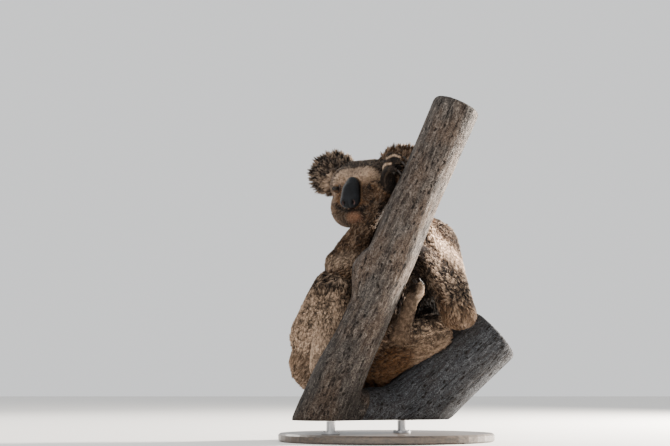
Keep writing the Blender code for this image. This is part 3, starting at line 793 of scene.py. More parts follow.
def skinFacts(mesh, finder, perchTree):
    co, normal, edges = pointsOf(mesh), normalsOf(mesh), edgesOf(mesh)
    part = finder(co)
    kind = fleshKinds[part]
    head, face, arm = kind == "head", np.isin(kind, ("head", "jaw")), np.isin(kind, ("upper_arm", "forearm"))
    local = placed(co, worldToHead)
    length, rise = hairLength[part], hairRise[part]
    fromNose = np.linalg.norm(local - np.array((*coatPlan["noseTip"], -0.012)), axis=1)
    shortest, more = coatPlan["muzzle"]
    length = np.where(head, shortest + more * softStep(fromNose, *coatPlan["fromNose"]), length)
    for side in ("left", "right"):
        fromEye = np.linalg.norm(co - np.array(eyeFrame(side)[0]), axis=1)
        length = np.where(head, length * (0.70 + 0.30 * softStep(fromEye, *coatPlan["fromEye"])), length)
    length = length * (1 + 0.2 * patch(co, "rightElbowHair") * arm) * (1 + 0.6 * patch(co, "leftElbowHair"))
    low = patch(co, "crotch") * np.isin(kind, ("trunk", "thigh", "shank"))
    length = relaxed(length * (1 + 0.7 * low), edges, coatPlan["lengthRounds"])[:, 0]
    rise = relaxed(rise + 0.40 * low, edges, coatPlan["lengthRounds"])[:, 0]
    flow = lieOfCoat(mesh, part)
    rim, plan = earRims(local, normal, kind), coatPlan["earRim"]
    streak = streaksAlong(co, flow, edges, *coatPlan["streaks"])
    return {
        "co": co, "normal": normal, "part": part, "flow": flow, "triangles": trianglesOf(mesh),
        "length": length + plan["length"] * rim, "rise": np.maximum(rise, plan["rise"] * rim),
        "thick": 1 + plan["thick"] * rim, "room": roomAbove(mesh, co, normal, perchTree),
        "streak": np.where(face, 0.5 + 0.3 * (streak - 0.5), streak), **markingsAndPaintedLight(co, part),
    }


# the coat: closed, tapering tufts that lie along the skin

coatPieces = {  # the parts of each piece, the distance between its locks, and how many of each tuft and how wide
    "coatFace": (("head", "jaw"), 0.0026, {"hair": (48000, 0.0010)}),
    "coatEars": (("ear_left", "ear_right"), 0.0034, {"lock": (8000, 0.0015), "hair": (24000, 0.0009)}),
    "coatNeck": (("neck",), 0.0036, {"lock": (6500, 0.0017), "hair": (18000, 0.0011)}),
    "coatTrunk": (("trunk",), 0.0054, {"lock": (10000, 0.0025), "hair": (23000, 0.0014)}),
    "coatArmRight": (("upper_arm_right", "forearm_right"), 0.0040, {"lock": (6000, 0.0019), "hair": (17000, 0.0011)}),
    "coatArmLeft": (("upper_arm_left", "forearm_left"), 0.0042, {"lock": (7000, 0.0019), "hair": (17000, 0.0011)}),
    "coatLegRight": (("thigh_right", "shank_right"), 0.0044, {"lock": (9500, 0.0021), "hair": (21000, 0.0012)}),
    "coatLegLeft": (("thigh_left", "shank_left"), 0.0044, {"lock": (9000, 0.0021), "hair": (20000, 0.0012)}),
    "coatPaws": (("hand_left", "hand_right", "foot_left", "foot_right"), 0.0026, {"hair": (36000, 0.0010)}),
}
tuftShapes = {  # points as (along, half width, up), in shares of length and width, with their places on the patch
    "lock": {
        "points": ((0, -1, 0), (0, 1, 0), (0, 0, 0.8), (0.45, -0.8, 0), (0.45, 0.8, 0), (0.45, 0, 0.7), (1, 0, 0)),
        "faces": (
            (0, 2, 1), (0, 1, 4), (0, 4, 3), (1, 2, 5), (1, 5, 4),
            (2, 0, 3), (2, 3, 5), (3, 4, 6), (4, 5, 6), (5, 3, 6),
        ),
        "patch": ((0.1, 0), (0.9, 0), (0.5, 0.08), (0.15, 0.5), (0.85, 0.5), (0.5, 0.58), (0.5, 1)),
    },
    "hair": {
        "points": ((0, -1, 0), (0, 1, 0), (0, 0, 0.9), (1, 0, 0)),
        "faces": ((0, 2, 1), (0, 1, 3), (1, 2, 3), (2, 0, 3)),
        "patch": ((0.1, 0), (0.9, 0), (0.5, 0.1), (0.5, 1)),
    },
}
tuftPlan = {
    "patch": 0.003,  # the side of each tuft's place on the map
    "spread": 0.16,
    "stray": 0.22,
    "swirl": 0.75,
    "gather": 0.62,  # how far a tip is drawn to its lock's leader,
    "grip": (2.2, 1.0),  # from none to all of it, at these distances between locks
    "sink": 0.0007,
    "arch": 0.15,
    "lengths": (0.74, 1.16),
    "rises": (0.7, 1.3),
    "widths": (0.7, 1.3),
    "room": (0.0010, 0.0040),  # few tufts grow where there is less room above the skin
    "inside": 0.0002,  # how far every tip stays inside the solid's box
    "seed": 40,
}


def unrolled(root, part, parts):
    # where each root lies on the skin's own shape, opened out part by part
    uv = np.zeros((len(root), 2))
    for k, name in enumerate(parts):
        here = part == fleshParts.index(name)
        if not here.any():
            continue
        if name in ("head", "jaw") or name.startswith("ear"):
            p = placed(root[here], worldToHead)
            middle = (p.min(axis=0) + p.max(axis=0)) / 2
            d = unit((p - middle) / np.maximum(np.ptp(p, axis=0), 1e-4))
            u = np.arctan2(d[:, 0], -d[:, 1]) / math.tau + 0.5
            v = np.arcsin(np.clip(d[:, 2], -1, 1)) / math.pi + 0.5
        else:
            chain = chainOf(name)
            axis = unit(np.array(chain[-1], float) - np.array(chain[0], float))
            first = unit(np.cross(axis, (0.31, 0.87, 0.38)))  # any way across the limb
            p = root[here]
            d = p - p.mean(axis=0)
            u = np.arctan2(d @ np.cross(axis, first), d @ first) / math.tau + 0.5
            v = d @ axis
            v = (v - v.min()) / max(np.ptp(v), 1e-4)
        uv[here] = np.stack([u, (k + 0.01 + 0.98 * v) / len(parts)], axis=1)
    return uv * 0.99 + 0.005


def areasOf(facts):
    a, b, c = (facts["co"][facts["triangles"][:, k]] for k in range(3))
    return np.linalg.norm(np.cross(b - a, c - a), axis=1) / 2


sampledKeys = ("co", "normal", "flow", "length", "rise", "room", "streak", *maskNames)


def sampled(facts, weight, n, rng):
    # n random places on the skin, spread by weight, with the values that it holds there
    tri = facts["triangles"]
    walked = np.cumsum(areasOf(facts) * weight[tri].mean(axis=1))
    face = np.searchsorted(walked, (np.arange(n) + rng.random(n)) / n * walked[-1])
    r, s = np.sqrt(rng.random(n)), rng.random(n)
    share = np.stack([1 - r, r * (1 - s), r * s], axis=1)
    found = {key: np.einsum("nk,nk...->n...", share, facts[key][tri[face]]) for key in sampledKeys}
    found["part"] = facts["part"][tri[face, np.argmax(share, axis=1)]]
    return found


def hairTips(spots, stray, rng):
    # the way each tuft lies, and where its tip ends
    n = len(spots["co"])
    normal = unit(spots["normal"])
    flow = unit(flattened(spots["flow"], normal))
    swirl = tuftPlan["swirl"] * (0.6 + spots["grizzle"]) * (cloudy(spots["co"], 0.011, 5) - 0.5)
    turn = rng.normal(0, stray, n) + swirl
    flow = flow * np.cos(turn)[:, None] + np.cross(normal, flow) * np.sin(turn)[:, None]
    length = spots["length"] * rng.uniform(*tuftPlan["lengths"], n)
    rise = np.minimum(spots["rise"] * rng.uniform(*tuftPlan["rises"], n), 0.75 * spots["room"] / length)
    up = np.minimum(rise, 0.98)
    tip = spots["co"] + (flow * np.sqrt(1 - up**2)[:, None] + normal * rise[:, None]) * length[:, None]
    return normal, np.cross(normal, flow), length, rise, tip


def tuftMesh(name, made):
    # one mesh of loose tufts, with their places on the map and the values at their points
    points, faces, uv = (made.pop(key) for key in ("points", "faces", "uv"))
    mesh = bpy.data.meshes.new(name)
    mesh.vertices.add(len(points))
    mesh.vertices.foreach_set("co", points.astype(np.float32).ravel())
    mesh.loops.add(faces.size)
    mesh.loops.foreach_set("vertex_index", faces.astype(np.int32).ravel())
    mesh.polygons.add(len(faces))
    mesh.polygons.foreach_set("loop_start", np.arange(0, faces.size, 3, dtype=np.int32))
    mesh.update()
    mesh.uv_layers.new(name="OFBake").uv.foreach_set("vector", uv.astype(np.float32).ravel())
    for key, values in made.items():
        storeValues(mesh, key, values)
    shadeSmooth(mesh)
    return mesh


def growTufts(name, facts, seed):
    parts, apart, layers = coatPieces[name]
    rng = np.random.default_rng(seed)
    wanted = np.isin(facts["part"], [fleshParts.index(p) for p in parts])
    weight = wanted * (0.001 + softStep(facts["room"], *tuftPlan["room"])) * facts["thick"]
    area = (areasOf(facts) * wanted[facts["triangles"]].mean(axis=1)).sum()
    # neighbouring tips lean together into locks, each round a leader
    leaders = sampled(facts, weight, int(area / apart**2), rng)
    leaderTip = hairTips(leaders, tuftPlan["stray"], rng)[-1]
    leaderTone = rng.random(len(leaderTip))
    tree = treeOf(leaders["co"])
    low, high = np.array(cadBox[0]) + tuftPlan["inside"], np.array(cadBox[1]) - tuftPlan["inside"]
    made, offset = [], 0
    for kind, (n, width) in layers.items():
        spots = sampled(facts, weight, n, rng)
        normal, across, length, rise, tip = hairTips(spots, tuftPlan["spread"], rng)
        found = [tree.find(place) for place in spots["co"]]
        lead = np.array([f[1] for f in found])
        gap = np.array([f[2] for f in found]) / apart
        pull = tuftPlan["gather"] * softStep(gap, *tuftPlan["grip"])
        tip += (leaderTip[lead] - tip) * pull[:, None]
        half = width * rng.uniform(*tuftPlan["widths"], n) / 2
        tone = 0.3 * rng.random(n) + 0.35 * leaderTone[lead] + 0.35 * spots["streak"]
        shape = {key: np.array(values) for key, values in tuftShapes[kind].items()}
        t, side, up = shape["points"].T
        size = len(t)
        start = spots["co"] - normal * tuftPlan["sink"]
        body = start[:, None] + (tip - start)[:, None] * t[None, :, None]
        arch = (tuftPlan["arch"] * length * (rise > 0.05))[:, None] * (4 * t * (1 - t))[None, :]
        body += normal[:, None] * (arch + half[:, None] * up[None, :])[:, :, None]
        body += across[:, None] * (half[:, None] * side[None, :])[:, :, None]
        corners = (shape["faces"][None] + size * np.arange(n)[:, None, None]).reshape(-1, 3)
        place = unrolled(spots["co"], spots["part"], parts)[:, None]
        place = (place + (shape["patch"] - 0.5)[None] * tuftPlan["patch"]).reshape(-1, 2)
        made.append({
            "points": np.clip(body, low, high).reshape(-1, 3),
            "faces": corners + offset,
            "uv": place[corners.ravel()],
            **{key: np.repeat(spots[key], size) for key in maskNames},
            "tipward": np.tile(t, n),
            "lock": np.repeat(ranked(tone), size),
            "edge": np.repeat(np.clip(gap, 0, 1), size),
        })
        offset += n * size
    joined = {key: np.concatenate([layer[key] for layer in made]) for key in made[0]}
    return newObject(name, tuftMesh(name, joined))


# bark

barkPlan = {
    "voxel": 0.0022,
    "evenRounds": 45,
    "triangles": 170000,
    "limbs": {
        "leaning": (
            (-0.129, -0.034, 0.010), (-0.087, -0.060, 0.112), (-0.055, -0.075, 0.176), (-0.0265, -0.085, 0.240),
            (0.013, -0.090, 0.338), (0.079, -0.088, 0.489), (0.133, -0.084, 0.612),
        ),
        "seat": ((-0.020, 0.030, 0.004), (0.046, 0.036, 0.056), (0.121, 0.044, 0.122), (0.212, 0.054, 0.205)),
    },
    "radii": (0.045, 0.062),
    "apart": 0.4,  # sets the side limb's grain away from the leaning one's
    "ridge": 0.0011,
    "swell": 0.0012,
    "sawReach": 0.13,
    "sawDepth": 0.0022,
    "footCut": 0.0015,
    "endSides": 12,  # a sawn end is the only face with more sides
}


def grainPlace(co):
    # each point's place in the wood: two coordinates across the limb and one along it
    out = np.zeros_like(co)
    best = np.full(len(co), 1e9)
    for k, limb in enumerate(barkPlan["limbs"].values()):
        _, far, gap = alongChain(co, limb)
        gap = gap / barkPlan["radii"][k]
        spine = np.array(limb, float)
        axis = unit(spine[-1] - spine[0])
        first = unit(np.cross(axis, (0, 1, 0)))
        second = np.cross(axis, first)
        walked = np.concatenate([[0], np.cumsum(np.linalg.norm(np.diff(spine, axis=0), axis=1))])
        d = co - np.stack([np.interp(far, walked, spine[:, j]) for j in range(3)], axis=1)
        here = gap < best
        place = np.stack([d @ first + barkPlan["apart"] * k, d @ second, far + np.sum(d * axis, axis=1)], axis=1)
        out[here], best[here] = place[here], gap[here]
    return out


def sawn(bm, verts, spot, way):
    # one flat cut through these points, closed by a single face
    keep = set(verts)
    geom = verts + [e for e in bm.edges if e.verts[0] in keep and e.verts[1] in keep]
    geom += [f for f in bm.faces if all(v in keep for v in f.verts)]
    cut = bmesh.ops.bisect_plane(bm, geom=geom, plane_co=spot, plane_no=way, clear_outer=True)
    bmesh.ops.holes_fill(bm, edges=[e for e in cut["geom_cut"] if isinstance(e, bmesh.types.BMEdge)])


def buildBark():
    mesh = remeshed(looseCopy("perch_fork"), barkPlan["voxel"], "barkFork")
    setPoints(mesh, relaxed(pointsOf(mesh), edgesOf(mesh), barkPlan["evenRounds"]))
    flat = set()

    def cutEnds(bm):
        for limb in barkPlan["limbs"].values():  # across each limb
            end, before = Vector(limb[-1]), Vector(limb[-2])
            way = (end - before).normalized()
            near = [v for v in bm.verts if (v.co - end).length < barkPlan["sawReach"]]
            far = max((v.co - end).dot(way) for v in near)
            sawn(bm, near, end + way * (far - barkPlan["sawDepth"]), way)
        foot = min(v.co.z for v in bm.verts) + barkPlan["footCut"]
        sawn(bm, bm.verts[:], Vector((0, 0, foot)), Vector((0, 0, -1)))
        bm.normal_update()
        bm.verts.index_update()
        for face in bm.faces:
            face.smooth = len(face.verts) <= barkPlan["endSides"]
            face.material_index = 0 if face.smooth else 1
            if not face.smooth:
                flat.update(v.index for v in face.verts)
                for edge in face.edges:
                    edge.smooth = False
    reworked(mesh, [mesh], cutEnds)
    co, normal = pointsOf(mesh), normalsOf(mesh)
    grain = grainPlace(co)
    streak = grain * (1, 1, 0.16)
    height = barkPlan["ridge"] * (cloudy(streak, 0.012, 11) + 0.6 * cloudy(streak, 0.005, 12) - 0.75)
    height += barkPlan["swell"] * (cloudy(grain * (1, 1, 0.6), 0.045, 13) - 0.5)
    height[list(flat)] = 0
    setPoints(mesh, co + normal * height[:, None])
    storeValues(mesh, "grain", grain)
    reworked(mesh, [mesh], withoutLargeFaces)
    return thinned(mesh, barkPlan["triangles"], "barkFork")


# eyes, nose, claws and small repeated pieces

nosePlan = {
    "voxel": 0.0009,
    "evenRounds": 14,
    "nostrils": ((0.0074, -0.0800, -0.0375), (-0.0104, -0.0800, -0.0375)),  # in the head's frame
    "nostrilSize": (0.0034, 0.0075, 0.0056),
    "depths": (0.0042, 0.0007),  # of the nostrils and of the groove between them
    "width": ((-0.045, 1.06), (-0.032, 1.12), (-0.012, 1.00), (0.012, 0.82)),  # (height, share of the solid's width)
}


def buildNose():
    mesh = remeshed(looseCopy("nose"), nosePlan["voxel"], "nosePad")
    local = placed(relaxed(pointsOf(mesh), edgesOf(mesh), nosePlan["evenRounds"]), worldToHead)
    heights, widths = np.array(nosePlan["width"]).T
    local[:, 0] *= np.interp(local[:, 2], heights, widths)
    co = placed(local, headToWorld)
    setPoints(mesh, co)
    pit, gleam = np.zeros(len(co)), np.zeros(len(co))
    for spot in nosePlan["nostrils"]:
        side = 1 if spot[0] > 0 else -1
        d = (local - np.array(spot)) / np.array(nosePlan["nostrilSize"])
        d[:, 0] += side * 0.55 * np.clip(d[:, 2], -1, 1) ** 2
        far = np.linalg.norm(d, axis=1)
        pit = np.maximum(pit, 1 - softStep(far, 0.45, 1.15))
        # the gleam is a painted highlight on each nostril's outer rim, fainter on the right one
        edge = np.exp(-(((far - 0.90) / 0.14) ** 2)) * softStep(d[:, 0] * side, 0.35, 0.75)
        gleam = np.maximum(gleam, edge * (1 if side > 0 else 0.4))
    groove = np.exp(-((local[:, 0] + 0.0012) / 0.0012) ** 2) * softStep(-local[:, 2], 0.022, 0.040)
    deep, shallow = nosePlan["depths"]
    setPoints(mesh, co - normalsOf(mesh) * (deep * pit + shallow * groove)[:, None])
    storeValues(mesh, "nostril", pit)
    storeValues(mesh, "gleam", gleam)
    shadeSmooth(mesh)
    return newObject("nosePad", mesh)


def buildEye(side):
    centre, out, up, look = eyeFrame(side)
    radius = eyePlan["radius"]

    def swell(bm):
        bmesh.ops.create_uvsphere(bm, u_segments=48, v_segments=32, radius=radius)
        for v in bm.verts:  # the clear front stands out a little
            v.co *= 1 + 0.05 * max(0, v.co.z / radius - 0.72) / 0.28
    mesh = newMesh("eye" + side.title(), swell)
    storeValues(mesh, "eyePlace", pointsOf(mesh) / radius)
    turn = Matrix((out, up if out.cross(up).dot(look) > 0 else -up, look)).transposed().to_4x4()
    mesh.transform(Matrix.Translation(centre) @ turn)
    shadeSmooth(mesh)
    return newObject(mesh.name, mesh)


fingers, toes = ("thumb_1", "thumb_2", "finger_3", "finger_4", "finger_5"), ("toe_2", "toe_3", "toe_4", "toe_5")
clawSets = {
    "clawsHandRight": [f"claw_hand_right_{n}" for n in fingers],
    "clawsHandLeft": [f"claw_hand_left_{n}" for n in fingers],
    "clawsFootRight": [f"claw_foot_right_{n}" for n in toes],
    "clawsFootLeft": [f"claw_foot_left_{n}" for n in toes],
}


def buildClaws(name):
    mesh = reworked(bpy.data.meshes.new(name), [looseCopy(node) for node in clawSets[name]])
    mesh = modified(mesh, "SUBSURF", name, levels=2, render_levels=2)
    shadeSmooth(mesh)
    return newObject(name, mesh)


def newGeometryGroup(name, inputs):
    group = bpy.data.node_groups.new(name, "GeometryNodeTree")
    for way in ("INPUT", "OUTPUT"):
        group.interface.new_socket("Geometry", in_out=way, socket_type="NodeSocketGeometry")
    for label, kind in inputs.items():
        group.interface.new_socket(label, in_out="INPUT", socket_type="NodeSocket" + kind)
    return group, group.nodes.new("NodeGroupInput").outputs, group.nodes.new("NodeGroupOutput")


def finished(group, instances, material, end):
    real = addNode(group, "GeometryNodeRealizeInstances", {0: instances}).outputs[0]
    painted = addNode(group, "GeometryNodeSetMaterial", {"Geometry": real, "Material": material}).outputs[0]
    group.links.new(painted, end.inputs[0])


def onPoints(group, points, piece, **inputs):
    inputs = {"Points": points, "Instance": piece, **inputs}
    return addNode(group, "GeometryNodeInstanceOnPoints", inputs).outputs[0]


def bristleGroup():
    # tapering bristles on the points of a mesh, each along the point's own lean
    inputs = {"Length": "Float", "Thickness": "Float", "Seed": "Int", "Material": "Material"}
    group, s, end = newGeometryGroup("bristles", inputs)
    cone = {"Vertices": 6, "Radius Top": times(group, s["Thickness"], 0.1), "Radius Bottom": s["Thickness"]}
    hair = addNode(group, "GeometryNodeMeshCone", {**cone, "Depth": s["Length"]}).outputs["Mesh"]
    lean = addNode(group, "GeometryNodeInputNamedAttribute", {"Name": "lean"}, data_type="FLOAT_VECTOR").outputs[0]
    turn = addNode(group, "FunctionNodeAlignRotationToVector", {"Vector": lean}, axis="Z").outputs[0]
    sizes = {2: 0.6, 3: 1.25, "Seed": s["Seed"]}
    size = addNode(group, "FunctionNodeRandomValue", sizes, data_type="FLOAT").outputs[1]
    finished(group, onPoints(group, s["Geometry"], hair, Rotation=turn, Scale=size), s["Material"], end)
    return group


def collarGroup():
    # a round flange with a ring of hexagonal screws on each point of a mesh
    inputs = {"Radius": "Float", "Height": "Float", "Screws": "Int", "Screw Radius": "Float", "Material": "Material"}
    group, s, end = newGeometryGroup("collars", inputs)
    flange, head = (
        addNode(group, "GeometryNodeMeshCylinder", {"Vertices": sides, "Radius": radius, "Depth": s["Height"]})
        for sides, radius in ((48, s["Radius"]), (6, s["Screw Radius"]))
    )
    spots = {"Vertices": s["Screws"], "Radius": times(group, s["Radius"], 0.78)}
    ring = addNode(group, "GeometryNodeMeshCircle", spots).outputs[0]
    rise = addNode(group, "ShaderNodeCombineXYZ", {2: times(group, s["Height"], 0.5)}).outputs[0]
    heads = {"Geometry": onPoints(group, ring, head.outputs["Mesh"]), "Translation": rise}
    both = addNode(group, "GeometryNodeJoinGeometry", {0: flange.outputs["Mesh"]})
    group.links.new(addNode(group, "GeometryNodeTransform", heads).outputs[0], both.inputs[0])
    finished(group, onPoints(group, s["Geometry"], both.outputs[0]), s["Material"], end)
    return group


def scattered(name, group, points, values, lean=None):
    # runs the group on the points and keeps the plain mesh that it makes
    mesh = bpy.data.meshes.new("points")
    mesh.from_pydata([tuple(p) for p in points], [], [])
    if lean is not None:
        storeValues(mesh, "lean", lean)
    work = newObject("work", mesh)
    modifier = work.modifiers.new("scatter", "NODES")
    modifier.node_group = group
    for item in group.interface.items_tree:
        if item.in_out == "INPUT" and item.name in values:
            modifier[item.identifier] = values[item.name]
    out = evaluatedMesh(work, name)
    work.modifiers.remove(modifier)
    bpy.data.objects.remove(work)
    return newObject(name, out)


bristlePlan = {
    "spots": (  # in the head's frame, with how many grow round each
        ((0.020, -0.058, -0.034), 16), ((-0.020, -0.058, -0.034), 16),
        ((0.030, -0.050, 0.016), 4), ((-0.030, -0.050, 0.016), 4), ((0.0, -0.060, -0.060), 6),
    ),
    "spread": 0.010,
    "values": {"Length": 0.011, "Thickness": 0.00016, "Seed": 5},
}
collarPlan = {
    "feet": ((-0.100, -0.036, 0.0165), (0.030, 0.030, 0.0165)),
    "values": {"Radius": 0.0165, "Height": 0.0030, "Screws": 4, "Screw Radius": 0.0020},
}


def buildBristles(facts, material):
    rng = np.random.default_rng(3)
    places, leans = [], []
    for spot, count in bristlePlan["spots"]:
        far = np.linalg.norm(facts["co"] - np.array(headToWorld @ Vector(spot)), axis=1)
        near = rng.choice(np.flatnonzero(far < bristlePlan["spread"]), count, replace=False)
        places.append(facts["co"][near])
        leans.append(unit(facts["normal"][near] * 0.7 + facts["flow"][near] + rng.normal(0, 0.12, (count, 3))))
    values = {**bristlePlan["values"], "Material": material}
    return scattered("bristles", bristleGroup(), np.concatenate(places), values, np.concatenate(leans))


# materials

furColours = {
    "brown": (0.090, 0.052, 0.030),
    "pale": (0.60, 0.435, 0.310),
    "warm": (0.180, 0.085, 0.034),
    "dark": (0.007, 0.0045, 0.0035),
    "pink": (0.210, 0.105, 0.062),
}


def furGroup():
    # the coat's colour from the masks, the place along a tuft, and each lock's own tone, with painted shade at the
    # roots and lock edges
    inputs = [(label.title(), "Float", 0.0) for label in maskNames]
    inputs += [("Tipward", "Float", 0.5), ("Lock", "Float", 0.5), ("Edge", "Float", 0.3)]
    group, start, end = newGroup("koalaMarkingsAndShade", inputs, [("Color", "Color")])
    place = placeOf(group)
    mottle = noiseOf(group, place, 150.0, 4.0, 0.65)
    fine = noiseOf(group, place, 420.0, 2.0, 0.6)
    s = start.outputs
    warm = times(group, s["Warm"], remap(group, mottle, 0.3, 0.62, 0.60, 1.0), True)
    pale = times(group, s["Pale"], remap(group, mottle, 0.36, 0.58, 0.55, 1.05), True)
    worn = remap(group, mottle, 0.42, 0.62, 0.0, 0.36)
    dark = maths(group, "SUBTRACT", times(group, s["Dark"], 1.22), worn, True)
    pink = times(group, s["Pink"], remap(group, mottle, 0.35, 0.60, 1.0, 0.55))
    # single locks run lighter or darker than their neighbours, and tips are frosted
    salt = times(group, times(group, remap(group, s["Lock"], 0.60, 0.85), s["Grizzle"]), 0.52)
    pepper = times(group, times(group, remap(group, s["Lock"], 0.42, 0.26), s["Grizzle"]), 0.92)
    frost = times(group, times(group, remap(group, s["Tipward"], 0.55, 1.0), s["Grizzle"]), 0.30)
    layers = (
        (warm, "warm"), (pale, "pale"), (dark, "dark"),
        (salt, "pale"), (pepper, "dark"), (frost, "pale"), (pink, "pink"),
    )
    colour = furColours["brown"]
    for share, tone in layers:
        colour = blended(group, share, colour, furColours[tone])
    # painted shade: darker towards each tuft's root and at its lock's edge, where hair shades hair; the fine noise is
    # the hair's own tone
    shade = remap(group, s["Tipward"], 0.0, 1.0, 0.40, 1.20)
    shade = times(group, shade, remap(group, s["Edge"], 0.35, 1.0, 1.04, 0.78))
    shade = times(group, shade, remap(group, fine, 0.3, 0.7, 0.82, 1.18))
    group.links.new(shaded(group, colour, shade), end.inputs["Color"])
    return group


def attribute(tree, name, output="Fac"):
    return addNode(tree, "ShaderNodeAttribute", attribute_name=name).outputs[output]


def markingsAndShadeColour(tree, group, tipward, lock, edge):
    inputs = {label.title(): attribute(tree, label) for label in maskNames}
    inputs.update({"Tipward": tipward, "Lock": lock, "Edge": edge})
    return addNode(tree, "ShaderNodeGroup", inputs, node_tree=group).outputs["Color"]


def skinMaterial(group):
    material, tree, shader = newMaterial("koalaSkin")
    # the skin under the coat takes the painted shade of a hair's root
    wire(tree, shader, {
        "Base Color": markingsAndShadeColour(tree, group, 0.3, attribute(tree, "streak"), 0.5),
        "Normal": bumpOf(tree, noiseOf(tree, placeOf(tree), 900.0, 4.0), 0.0008, 0.8),
        "Roughness": 0.75, "Specular IOR Level": 0.12,
    })
    return material


def coatMaterial(group):
    material, tree, shader = newMaterial("koalaCoat")
    own = (attribute(tree, key) for key in ("tipward", "lock", "edge"))
    wire(tree, shader, {
        "Base Color": markingsAndShadeColour(tree, group, *own),
        "Roughness": 0.66, "Specular IOR Level": 0.06, "Sheen Weight": 0.03,
    })
    return material


def grainGroup():
    # streaks, fine grain, pits, patches and cracks that run along the wood
    group, start, end = newGroup(
        "woodGrain",
        [("Place", "Vector"), ("Streak Scale", "Float", 160.0), ("Pit Scale", "Float", 170.0)],
        [(label, "Float") for label in ("Streaks", "Grain", "Pits", "Patches", "Cracks")],
    )
    s = start.outputs
    place = s["Place"]
    push = addNode(group, "ShaderNodeTexNoise", {"Vector": place, "Scale": 130.0, "Detail": 3.0}).outputs["Color"]
    push = vectors(group, "SUBTRACT", {0: push, 1: (0.5, 0.5, 0.5)})
    push = vectors(group, "SCALE", {0: push, "Scale": 0.009})
    bent = vectors(group, "ADD", {0: place, 1: push})
    cell = {"Vector": stretched(group, bent, (1, 1, 0.45)), "Scale": s["Pit Scale"], "Randomness": 1.0}
    cell = addNode(group, "ShaderNodeTexVoronoi", cell).outputs
    chance = addNode(group, "ShaderNodeSeparateColor", {0: cell["Color"]}).outputs[0]
    ridges = noiseOf(group, stretched(group, place, (1, 1, 0.07)), 75.0, 4.0, 0.5)
    fromRidge = maths(group, "ABSOLUTE", maths(group, "SUBTRACT", ridges, 0.5))
    fine = times(group, s["Streak Scale"], 3.4)
    for label, value in {
        "Streaks": noiseOf(group, stretched(group, bent, (1, 1, 0.26)), s["Streak Scale"], 5.0, 0.65),
        "Grain": noiseOf(group, stretched(group, bent, (1, 1, 0.55)), fine, 4.0, 0.7),
        "Pits": times(group, remap(group, cell["Distance"], 0.38, 0.24), remap(group, chance, 0.60, 0.64)),
        "Patches": noiseOf(group, stretched(group, place, (1, 1, 0.40)), 24.0, 4.0, 0.6),
        "Cracks": remap(group, fromRidge, 0.016, 0.0),
    }.items():
        group.links.new(value, end.inputs[label])
    return group


def grainIn(tree, group, place, streakScale, pitScale):
    inputs = {"Place": place, "Streak Scale": streakScale, "Pit Scale": pitScale}
    return addNode(tree, "ShaderNodeGroup", inputs, node_tree=group).outputs


# the side limb's darker, bluer and greyer colours are painted shade
barkColours = {  # on the leaning limb, and on the bluer and greyer side limb
    "grey": ((0.046, 0.040, 0.036), (0.030, 0.031, 0.034)),
    "brown": ((0.066, 0.048, 0.037), (0.033, 0.032, 0.033)),
    "light": ((0.150, 0.126, 0.108), (0.075, 0.077, 0.082)),
    "streak": (0.018, 0.013, 0.011),
    "pit": (0.009, 0.007, 0.006),
    "crack": (0.010, 0.008, 0.007),
}


def barkMaterial(grain):
    material, tree, shader = newMaterial("gumBark")
    place = attribute(tree, "grain", "Vector")
    marks = grainIn(tree, grain, place, 200.0, 165.0)
    streaks, fine, pits, spots, cracks = (marks[k] for k in ("Streaks", "Grain", "Pits", "Patches", "Cracks"))
    across, _, far = addNode(tree, "ShaderNodeSeparateXYZ", {0: place}).outputs
    # the side limb takes the darker colours of painted shade
    onShadedLimb = remap(tree, across, 0.15, 0.25)
    grey, brown, light = (blended(tree, onShadedLimb, *barkColours[k]) for k in ("grey", "brown", "light"))
    colour = blended(tree, remap(tree, spots, 0.44, 0.60), grey, brown)
    colour = blended(tree, times(tree, remap(tree, streaks, 0.50, 0.68), 0.75), colour, light)
    colour = blended(tree, times(tree, remap(tree, streaks, 0.46, 0.32), 0.75), colour, barkColours["streak"])
    foot = maths(tree, "MAXIMUM", remap(tree, far, 0.08, 0.30, 0.62, 1.0), onShadedLimb)  # darker near the ground
    colour = shaded(tree, colour, times(tree, remap(tree, fine, 0.38, 0.62, 0.30, 2.00), foot))
    colour = blended(tree, times(tree, pits, 0.9), colour, barkColours["pit"])
    colour = blended(tree, times(tree, cracks, 0.6), colour, barkColours["crack"])
    height = streaks
    for value, share in ((spots, 0.8), (fine, 0.5), (pits, -0.5), (cracks, -0.5)):
        height = maths(tree, "ADD", height, times(tree, value, share))
    wire(tree, shader, {
        "Base Color": colour, "Normal": bumpOf(tree, height, 0.0040),
        "Roughness": remap(tree, streaks, 0.3, 0.7, 0.92, 0.74), "Specular IOR Level": 0.10,
    })
    return material


def sawnMaterial():
    # pale sapwood round a red-brown heart, with growth rings and a rim of bark
    material, tree, shader = newMaterial("sawnWood")
    across = vectors(tree, "MULTIPLY", {0: attribute(tree, "grain", "Vector"), 1: (1, 1, 0)})
    other = vectors(tree, "SUBTRACT", {0: across, 1: (barkPlan["apart"], 0, 0)})
    radius = maths(tree, "MINIMUM", *(vectors(tree, "LENGTH", {0: v}, "Value") for v in (across, other)))
    warped = maths(tree, "ADD", radius, times(tree, noiseOf(tree, across, 40.0, 3.0), 0.006))
    rings = maths(tree, "SINE", times(tree, warped, 2300.0))
    wood = blended(tree, remap(tree, rings, -0.3, 1.0), (0.52, 0.37, 0.24), (0.34, 0.215, 0.125))
    wood = blended(tree, times(tree, remap(tree, warped, 0.036, 0.026), 0.75), wood, (0.22, 0.100, 0.055))
    wood = blended(tree, remap(tree, warped, 0.0415, 0.0450), wood, (0.060, 0.045, 0.038))
    scratch = noiseOf(tree, stretched(tree, across, (1, 0.08, 1)), 900.0, 3.0)
    height = maths(tree, "ADD", scratch, times(tree, rings, 0.2))
    wire(tree, shader, {"Base Color": wood, "Normal": bumpOf(tree, height, 0.0004, 0.6), "Roughness": 0.7})
    return material


